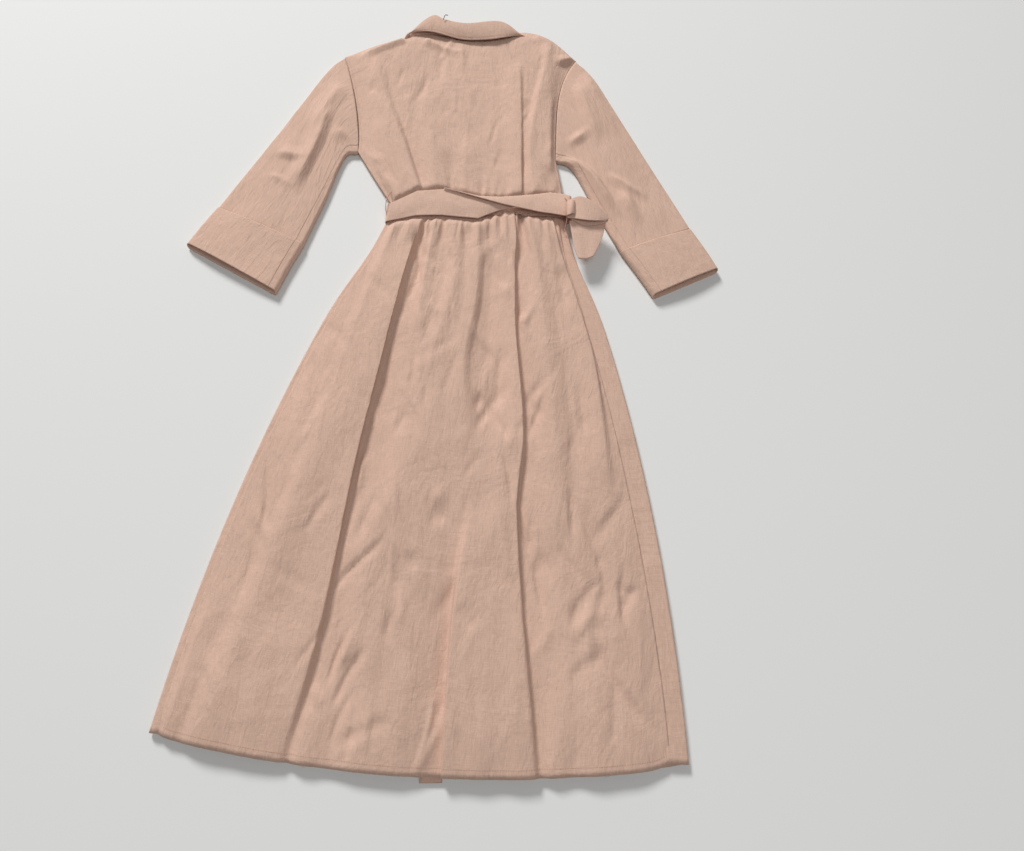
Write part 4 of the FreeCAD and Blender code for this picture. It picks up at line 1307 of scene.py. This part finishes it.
# the joint's ends: its start on the roll, its end at the fall's free edge
collar_joint = {"body": "collar", "start": Vector((0, collar_low.y + 0.57 * collar_depth, 0.0)),
                "end": Vector((0, collar_low.y, 0.0))}
finish_cloth(collar_fall, BODY, (1.08 * collar_width, collar_depth / 2), ["collar_fall"], other=collar_joint)


def stand_shape(u, v):
    seam, roll = along(neck_seam, u), along(roll_line, u)
    inside = roll + (seam - roll) * 0.12
    xy = seam + (inside - seam) * v[..., None]
    top = collar_height(u) - 3.2 * MM
    low = np.minimum(10.0 * MM, top - 1 * MM)
    return xy[..., 0], xy[..., 1], low + (top - low) * v**0.7


collar_stand = cloth_piece("collar_stand_cloth", 120, 16, stand_shape, linen, thickness=1.2 * MM)
stand_cut = (1.05 * collar_width, 18 * MM)
finish_cloth(collar_stand, BODY, stand_cut, ["collar_stand"], rests_on=["back_bodice_cloth"])


# %% [markdown]
# On the table side the collar's two ends lie as flat leaves. Each one is a small patch that rises a
# little towards the neck.

# %% Collar leaves on the table side
def collar_leaf(side):
    name = f"{SIDE_NAME[side]}_collar_leaf"
    low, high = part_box(name)
    inner_x, outer_x = (low.x, high.x) if side == RIGHT else (high.x, low.x)
    middle_x = 0.5 * (inner_x + outer_x)
    top = smooth_curve([(inner_x, high.y), (middle_x, high.y + 22 * MM), (outer_x, high.y + 30 * MM)])
    bottom = smooth_curve([(inner_x + side * 4 * MM, low.y + 22 * MM), (outer_x - side * 16 * MM, low.y)])
    inner_edge = smooth_curve([bottom[0], top[0]])
    outer_edge = smooth_curve([bottom[-1], (outer_x + side * 2 * MM, 0.5 * (low.y + high.y)), top[-1]])
    plan = patch(inner_edge, outer_edge, bottom, top)

    def shape(u, v):
        xy = plan(u, v)
        x, y = xy[..., 0], xy[..., 1]
        rise = np.clip((y - high.y + 6 * MM) / (30 * MM), 0, 1)
        return x, y, 1.1 * MM + 4.0 * MM * rise

    piece = cloth_piece(f"{name}_cloth", 40, 40, shape, linen, thickness=1.0 * MM, turn=side == LEFT)
    finish_cloth(piece, BODY, (high.x - low.x, high.y - low.y + 10 * MM), [name], held="folded")


collar_leaf(LEFT)
collar_leaf(RIGHT)


# %% [markdown]
# ## Belt
# The belt is a flat ribbon. Its upper edge has folded over towards the right, so that left of the
# fold one face shows and right of it the other. Each cross-section has a lower layer, a crease
# and an upper layer, and the share of the upper layer grows from nothing to the whole width.

# %% Belt on the back
END_SHARE = 0.08  # each turned-down end, as a share of the way over the back


def belt_surface(u, v):
    """u runs along the belt over the back, with both ends turned down round the sides."""
    part = u * (1 + 2 * END_SHARE) - END_SHARE
    way = np.clip(part, 0, 1)
    x = belt_left + (belt_right - belt_left) * way
    crease = belt_low.y + belt_width * np.interp(way, STATION, CREASE)
    upper = np.interp(way, STATION, UPPER) * belt_width
    lower = belt_width - upper
    narrow = np.interp(way, STATION, NARROW)
    t = v * belt_width
    on_top = np.clip((t - lower) / np.maximum(upper, 1e-5), 0, 1)
    is_top = t > lower
    top_scale = 1 - 0.1 * np.clip((way - 0.85) / 0.15, 0, 1)
    y = np.where(is_top, crease - (t - lower) * top_scale, crease - (lower - t) * narrow)
    bottom = 15.5 * MM + 2.5 * MM * np.sin(way * math.pi)
    upper_z = bottom + 3.6 * MM + 3.0 * MM * np.sin(on_top * math.pi / 2)
    lower_z = bottom + 2.4 * MM * t / np.maximum(lower, 1e-5)
    z = np.where(is_top, upper_z, lower_z)
    z = z + 1.2 * MM * np.sin((t / belt_width) * math.pi)
    z = z + 0.8 * MM * ripple(x, y, 61.0, 0.035, (1, 1.5))
    end = np.clip(-part / END_SHARE, 0, 1) - np.clip((part - 1) / END_SHARE, 0, 1)
    angle = np.abs(end) * math.pi
    table_gap = 1.5 * MM
    r = (z - table_gap) / 2
    x = x - np.sign(end) * 6 * MM * np.sin(angle)
    z = np.where(end != 0, table_gap + r * (1 + np.cos(angle)), z)
    return x, y, z


belt_back = cloth_piece("belt_back_cloth", 240, 36, belt_surface, linen_belt, thickness=1.1 * MM)
belt_cut = (belt_high.x - belt_low.x + 40 * MM, belt_width)
finish_cloth(belt_back, "belt_body", belt_cut, ["belt"], held="folded", rests_on=["back_bodice_cloth"])

# %% [markdown]
# The other half of the belt lies under the dress, flat on the table.

# %% Belt under the front
belt_middle = (0.5 * (belt_left + belt_right), belt_low.y)
front_edge = smooth_curve([(belt_left, belt_low.y + 3 * MM), belt_middle, (belt_right, belt_low.y + 8 * MM)])
front_level = np.full(LINE_POINTS, 0.9 * MM)
belt_front_low = np.column_stack([front_edge, front_level])
belt_front_high = np.column_stack([front_edge + [0, 0.9 * belt_width], front_level])
strip("belt_front_cloth", belt_front_low, belt_front_high, (belt_right - belt_left, belt_width), [],
      linen_belt, body="belt_body", rows=8, held="laid")


# %% [markdown]
# The bow lies at the right side, on top of the belt's end. A loop comes out of the knot and turns
# back on itself, and one short tail lies under it. Edges are given as shares of the bow's own box.

# %% Bow
bow_low, bow_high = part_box("belt_bow")
bow_wide, bow_long, bow_tall = bow_high - bow_low


def in_bow(*shares):
    """Places as shares of the bow's width and of its length."""
    places = [(bow_low.x + bow_wide * across, bow_low.y + bow_long * up) for across, up in shares]
    return smooth_curve(places)


def bow_piece(name, left, right, bottom, top, height, cut, thickness=1.1 * MM, replaced=()):
    """A small patch between four edges; height takes u and v and gives a share of the bow's height."""
    plan = patch(in_bow(*left), in_bow(*right), in_bow(*bottom), in_bow(*top))

    def shape(u, v):
        xy = plan(u, v)
        return xy[..., 0], xy[..., 1], bow_low.z + bow_tall * height(u, v)

    piece = cloth_piece(name, 44, 30, shape, linen_belt, thickness)
    finish_cloth(piece, "bow", cut, replaced, held="folded", rests_on=["belt_back_cloth"])


def loop_top_height(u, v):
    return 0.45 + 0.5 * np.sin(u * 2.6) ** 0.8 * (0.55 + 0.45 * v) - 0.08 * u


def loop_under_height(u, v):
    return 0.38 - 0.16 * np.sin(u * math.pi) + 0.06 * u


def tail_height(u, v):
    return 0.09 + 0.12 * v * np.sin(u * math.pi) + 0.02 * np.sin(u * 9)


loop_cut = (1.08 * bow_wide, 0.29 * bow_long)
tail_cut = (0.72 * bow_wide, 0.64 * bow_long)
bow_piece("bow_loop_top_cloth", [(0, 0.65), (0, 0.8), (0, 0.95)], [(0.95, 0.62), (1, 0.65), (0.97, 0.7)],
          [(0, 0.65), (0.5, 0.6), (0.95, 0.62)], [(0, 0.95), (0.3, 1), (0.65, 0.88), (0.97, 0.7)],
          loop_top_height, loop_cut, replaced=["belt_bow"])
bow_piece("bow_loop_under_cloth", [(0, 0.68), (0, 0.8), (0, 0.92)], [(0.95, 0.6), (1, 0.64), (0.97, 0.68)],
          [(0, 0.68), (0.45, 0.55), (0.95, 0.6)], [(0, 0.92), (0.35, 0.93), (0.65, 0.82), (0.97, 0.68)],
          loop_under_height, loop_cut)
bow_piece("bow_tail_cloth", [(0.28, 0), (0.18, 0.17), (0.06, 0.64)],
          [(0.63, 0.04), (0.84, 0.32), (0.96, 0.62)], [(0.28, 0), (0.45, 0), (0.63, 0.04)],
          [(0.06, 0.64), (0.5, 0.66), (0.96, 0.62)], tail_height, tail_cut)


def knot_shape(u, v):
    angle = u * 2 * math.pi
    x = bow_low.x + 5 * MM + (5.5 * MM + 1.0 * MM * np.sin(3 * angle)) * np.cos(angle)
    y = bow_low.y + 0.8 * bow_long + (v - 0.5) * 26 * MM + 1.5 * MM * np.sin(angle * 2)
    z = bow_low.z + bow_tall * (0.5 + 0.44 * np.sin(angle) * (0.7 + 0.3 * np.sin(v * math.pi)))
    return x, y, z


knot = cloth_piece("bow_knot_cloth", 40, 20, knot_shape, linen_belt, thickness=1.0 * MM, closed=True)
finish_cloth(knot, "bow", (2.9 * bow_tall, 26 * MM), held="folded", rests_on=["belt_back_cloth"])

# %% [markdown]
# ## Thread loops, labels and buttons
# A thread loop at each side seam keeps the belt up. Labels sit inside the neck and the side seam.

# %% Thin threads
def thread_piece(name, points, radius, material, body=BODY, replaced=(), sides=8):
    """A round thread along a smooth route."""
    route = smooth_curve(points, 60)
    tangent = np.gradient(route, axis=0)
    tangent /= np.linalg.norm(tangent, axis=1)[:, None]
    side_way = np.cross(tangent, [0.3, 0.2, 0.93])
    side_way /= np.linalg.norm(side_way, axis=1)[:, None]
    up_way = np.cross(side_way, tangent)

    def shape(u, v):
        angle = u[..., None] * 2 * math.pi
        centre, one, two = along(route, v), along(side_way, v), along(up_way, v)
        points = centre + radius * (np.cos(angle) * one + np.sin(angle) * two)
        return points[..., 0], points[..., 1], points[..., 2]

    piece = cloth_piece(name, sides, 60, shape, material, thickness=0, closed=True, turn=True)
    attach(piece, body)
    if replaced:
        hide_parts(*replaced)
    return piece


thread_material = linen_material("sewing_thread", (0.62, 0.36, 0.27), slub=0.2, crease=0.0)


def belt_loop(side, x, heights, replaced):
    """A thread loop that runs over the belt from below to above, at one end of the belt."""
    low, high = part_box(replaced)
    stops = np.linspace(low.y, high.y + 6 * MM, len(heights))
    points = [(x + side * bulge * MM, y, z * MM) for y, (bulge, z) in zip(stops, heights)]
    thread_piece(f"{replaced}_thread", points, 0.7 * MM, thread_material, replaced=[replaced])


belt_loop(LEFT, belt_left, ((-8, 11), (4, 16), (6, 22), (3, 20), (-2, 10)), "left_belt_loop")
belt_loop(RIGHT, belt_right - 4 * MM, ((-2, 12), (1, 23), (1, 30), (0, 29), (-4, 12)), "right_belt_loop")


# %% [markdown]
# The opening at the front has two bands, one over the other. They lie against the table and are
# seen only from below, so each is a plain strip over its node's plan.

# %% Button bands
def band(name, height, node):
    low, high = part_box(node)

    def upright(x, start_y):
        return smooth_curve([(x, start_y, height), (x, 0, height), (x, high.y, height)], 300)

    cut = (high.y - low.y, high.x - low.x)
    strip(name, upright(low.x, low.y), upright(high.x, low.y + 2 * MM), cut, [node], rows=8,
          thickness=0.55 * MM, held="folded")


band("button_placket_cloth", 4.1 * MM, "button_placket")
band("buttonhole_placket_cloth", 3.3 * MM, "buttonhole_placket")

# %% [markdown]
# Two plain tapes stand for the labels sewn in at the neck and at the side. They carry no text.

# %% Labels
label_material = linen_material("label_tape", (0.82, 0.80, 0.76), slub=0.1, crease=0.1)


def label(node, height, drop, along_x):
    """A flat tape over the node's plan, which slopes away from the edge that the seam holds."""
    low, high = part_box(node)
    if along_x:
        first = np.array([(x, low.y + 20 * MM, height) for x in np.linspace(low.x, high.x, 30)])
        second = first + [0, high.y - low.y, -drop]
        cut = (high.x - low.x, high.y - low.y)
    else:
        first = np.array([(low.x + 4 * MM, y, height) for y in np.linspace(low.y, high.y, 30)])
        second = first + [high.x - low.x, 0, -drop]
        cut = (high.y - low.y, high.x - low.x)
    strip(f"{node}_tape", first, second, cut, [node], label_material, slot="label", thickness=0.25 * MM,
          held="stretched", rests_on=["back_bodice_cloth"])


label("care_label", 8.0 * MM, 1.2 * MM, False)
label("neck_label", 8.2 * MM, -0.6 * MM, True)

# %% [markdown]
# The buttons and their thread shanks keep the shape that the frame gives them. They only need
# finishes: a clouded resin, and a twisted thread. Both are one texture between a dark and a pale
# colour, on the object's own coordinates.

# %% Buttons keep their shape from the frame, with a new material
def patterned_material(name, kind, dark, pale, roughness, **values):
    """One texture runs from a dark to a pale colour."""
    material = bpy.data.materials.new(name)
    material.use_nodes = True
    tree = material.node_tree
    shader = tree.nodes["Principled BSDF"]
    coordinates = tree.nodes.new("ShaderNodeTexCoord")
    texture = add_node(tree, kind, **values)
    link(tree, coordinates.outputs["Object"], texture.inputs["Vector"])
    ramp = tree.nodes.new("ShaderNodeValToRGB")
    ramp.color_ramp.elements[0].color = (*dark, 1)
    ramp.color_ramp.elements[1].color = (*pale, 1)
    link(tree, texture.outputs["Fac"], ramp.inputs["Fac"])
    link(tree, ramp.outputs["Color"], shader.inputs["Base Color"])
    shader.inputs["Roughness"].default_value = roughness
    return material


def repaint(node, material):
    target = frame["nodes"][node]
    if not target.material_slots:
        target.data.materials.append(material)
    for place in target.material_slots:
        place.link = "OBJECT"
        place.material = material
    print(f"{node} painted with {material.name}")


resin = patterned_material("mother_of_pearl_resin", "ShaderNodeTexNoise", (0.55, 0.38, 0.30),
                           (0.74, 0.56, 0.46), 0.32, Scale=240.0, Detail=3.0, Distortion=1.5)
spun_thread = patterned_material("spun_thread", "ShaderNodeTexWave", (0.42, 0.24, 0.18),
                                 (0.66, 0.41, 0.31), 0.8, Scale=900.0, Distortion=1.0,
                                 bands_direction="DIAGONAL")
repaint("front_buttons", resin)
repaint("button_shanks", spun_thread)

# %% [markdown]
# ## Stitches and loose ends
# Each row of stitches is one mesh of small beads, laid a little above the cloth along a line that
# is read from the panel's shape. A few threads have frayed out of the hem.

# %% Rows of stitches
def stitch_row(name, line, body=BODY, other=None, pitch=3.4 * MM):
    points = np.array(line)
    length = np.linalg.norm(np.diff(points, axis=0), axis=1).sum()
    points = spaced(points, max(3, int(length / pitch)))
    bm = bmesh.new()
    for a, b in zip(points[:-1], points[1:]):
        way = Vector(b - a)
        turn = way.to_track_quat("X", "Z").to_matrix().to_4x4()
        size = Matrix.Diagonal((way.length * 0.74, 0.55 * MM, 0.42 * MM, 1.0))
        place = Matrix.Translation(Vector((a + b) / 2)) @ turn @ size
        bmesh.ops.create_icosphere(bm, subdivisions=1, radius=0.5, matrix=place)
    mesh = bpy.data.meshes.new(name)
    bm.to_mesh(mesh)
    bm.free()
    mesh.materials.append(spun_thread)
    row = bpy.data.objects.new(name, mesh)
    bpy.context.scene.collection.objects.link(row)
    if other:
        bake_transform(row)
    else:
        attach(row, body)
    print(f"{name}: {len(points) - 1} stitches")


def tube_line(shape, v, lift=0.3 * MM, samples=LINE_POINTS):
    """A line across the upper face of a sleeve or cuff."""
    u = np.concatenate([np.linspace(0.925, 0.999, samples // 4), np.linspace(0.001, 0.41, samples)])
    x, y, z = shape(u[None, :], np.full(len(u), v)[None, :])[:3]
    return np.stack([x[0], y[0], z[0] + lift], axis=-1)


stitch_row("back_hem_stitches", edge_of(back_skirt_shape, v=HEM_SHARE * 0.86, lower=-0.25 * MM)[3:-3])
stitch_row("left_cuff_seam_stitches", tube_line(cuff_left_shape, 0.045), "left_sleeve_body")
stitch_row("left_cuff_edge_stitches", tube_line(cuff_left_shape, 0.955), "left_sleeve_body")
stitch_row("left_cuff_side_stitches", edge_of(cuff_left_shape, u=0.012, lower=-0.3 * MM)[6:-4],
           "left_sleeve_body")
stitch_row("right_cuff_seam_stitches", tube_line(cuff_right_shape, 0.045), "right_sleeve_body")
stitch_row("right_cuff_edge_stitches", tube_line(cuff_right_shape, 0.955), "right_sleeve_body")
stitch_row("collar_edge_stitches", edge_of(collar_fall_shape, v=0.90, lower=-0.3 * MM)[8:-8],
           other=collar_joint)
stitch_row("left_armhole_stitches", edge_of(back_bodice_shape, u=0.013, lower=-0.2 * MM)[110:-6])
stitch_row("right_armhole_stitches", edge_of(back_bodice_shape, u=0.987, lower=-0.2 * MM)[110:-6])


# %% [markdown]
# A few threads have worked loose at the hem, and the end of a tag's thread is left on the collar.
# Each one is a thin tube along a short route.

# %% Frayed threads along the hem
def frayed_threads(count, seed):
    rng = random.Random(seed)
    for number in range(count):
        u = rng.uniform(0.03, 0.97)
        x, y, z = (float(k[0, 0]) for k in back_skirt_shape(np.array([[u]]), np.array([[0.004]])))
        way = rng.uniform(-5, 5) * MM
        drop = rng.uniform(3, 9) * MM
        route = [(x, y + 1.5 * MM, z - 0.6 * MM), (x + way * 0.3, y - drop * 0.4, z - 0.3 * MM),
                 (x + way, y - drop * 0.8, z * 0.6), (x + way * 1.6, y - drop, max(z * 0.3, 0.6 * MM))]
        thread_piece(f"hem_thread_{number + 1}", route, 0.16 * MM, thread_material, sides=5)


frayed_threads(9, 12)
tag_thread = linen_material("dark_tag_thread", (0.02, 0.02, 0.022), slub=0.0, crease=0.0)
tag = np.array([-0.33 * collar_high.x, collar_low.y + 0.62 * collar_depth, collar_high.z + 3 * MM])
tag_steps = np.array([(0, -6, 0), (3, 2, 2), (8, 3, 1)]) * MM
thread_piece("collar_thread", tag + tag_steps, 0.6 * MM, tag_thread, sides=6)

# %% [markdown]
# ## Stage, light and camera
# The camera stands above the hem side and looks down at the dress, a little ahead of straight
# down. The light is a large soft window beyond the collar and a weak fill from the hem side.

# %% Camera
def add_camera():
    data = bpy.data.cameras.new("camera")
    data.sensor_width = 36.0
    data.lens = 22.5
    data.shift_x = 0.0635
    camera = bpy.data.objects.new("camera", data)
    bpy.context.scene.collection.objects.link(camera)
    camera.location = (0.0242, -0.436, 0.95)
    camera.rotation_euler = (math.radians(16.5), 0.0, math.radians(3.06))
    bpy.context.scene.camera = camera
    print(f"camera {camera.location.z:.2f} m above the floor")


add_camera()


# %% [markdown]
# A plain pale floor takes the shadows and sends some light back under the edges of the cloth.

# %% Floor
def add_floor():
    bm = bmesh.new()
    bmesh.ops.create_grid(bm, x_segments=1, y_segments=1, size=6.0)
    mesh = bpy.data.meshes.new("floor")
    bm.to_mesh(mesh)
    bm.free()
    material = bpy.data.materials.new("pale_floor")
    material.use_nodes = True
    shader = material.node_tree.nodes["Principled BSDF"]
    shader.inputs["Base Color"].default_value = (0.80, 0.80, 0.785, 1.0)
    shader.inputs["Roughness"].default_value = 0.9
    mesh.materials.append(material)
    floor = bpy.data.objects.new("floor", mesh)
    bpy.context.scene.collection.objects.link(floor)
    print("floor laid")


add_floor()


# %% [markdown]
# One large light from the side lets every fold throw a soft shadow. The fill is weak, because a
# strong one would wipe those shadows out.

# %% Lights
def add_area_light(name, location, target, size, power, colour=(1.0, 1.0, 1.0)):
    data = bpy.data.lights.new(name, "AREA")
    data.shape = "DISK"
    data.size = size
    data.energy = power
    data.color = colour
    light = bpy.data.objects.new(name, data)
    bpy.context.scene.collection.objects.link(light)
    light.location = location
    direction = Vector(target) - Vector(location)
    light.rotation_euler = direction.to_track_quat("-Z", "Y").to_euler()


def add_lights():
    add_area_light("window", (-3.0, 5.6, 3.8), (0, -0.1, 0), 1.9, 520.0)
    add_area_light("ceiling", (0.4, -0.9, 3.2), (0, -0.3, 0), 2.0, 24.0)
    world = bpy.data.worlds.new("world")
    world.use_nodes = True
    world.node_tree.nodes["Background"].inputs["Color"].default_value = (1.0, 1.0, 1.0, 1.0)
    world.node_tree.nodes["Background"].inputs["Strength"].default_value = 0.21
    bpy.context.scene.world = world
    print("two area lights and a dim world")


add_lights()
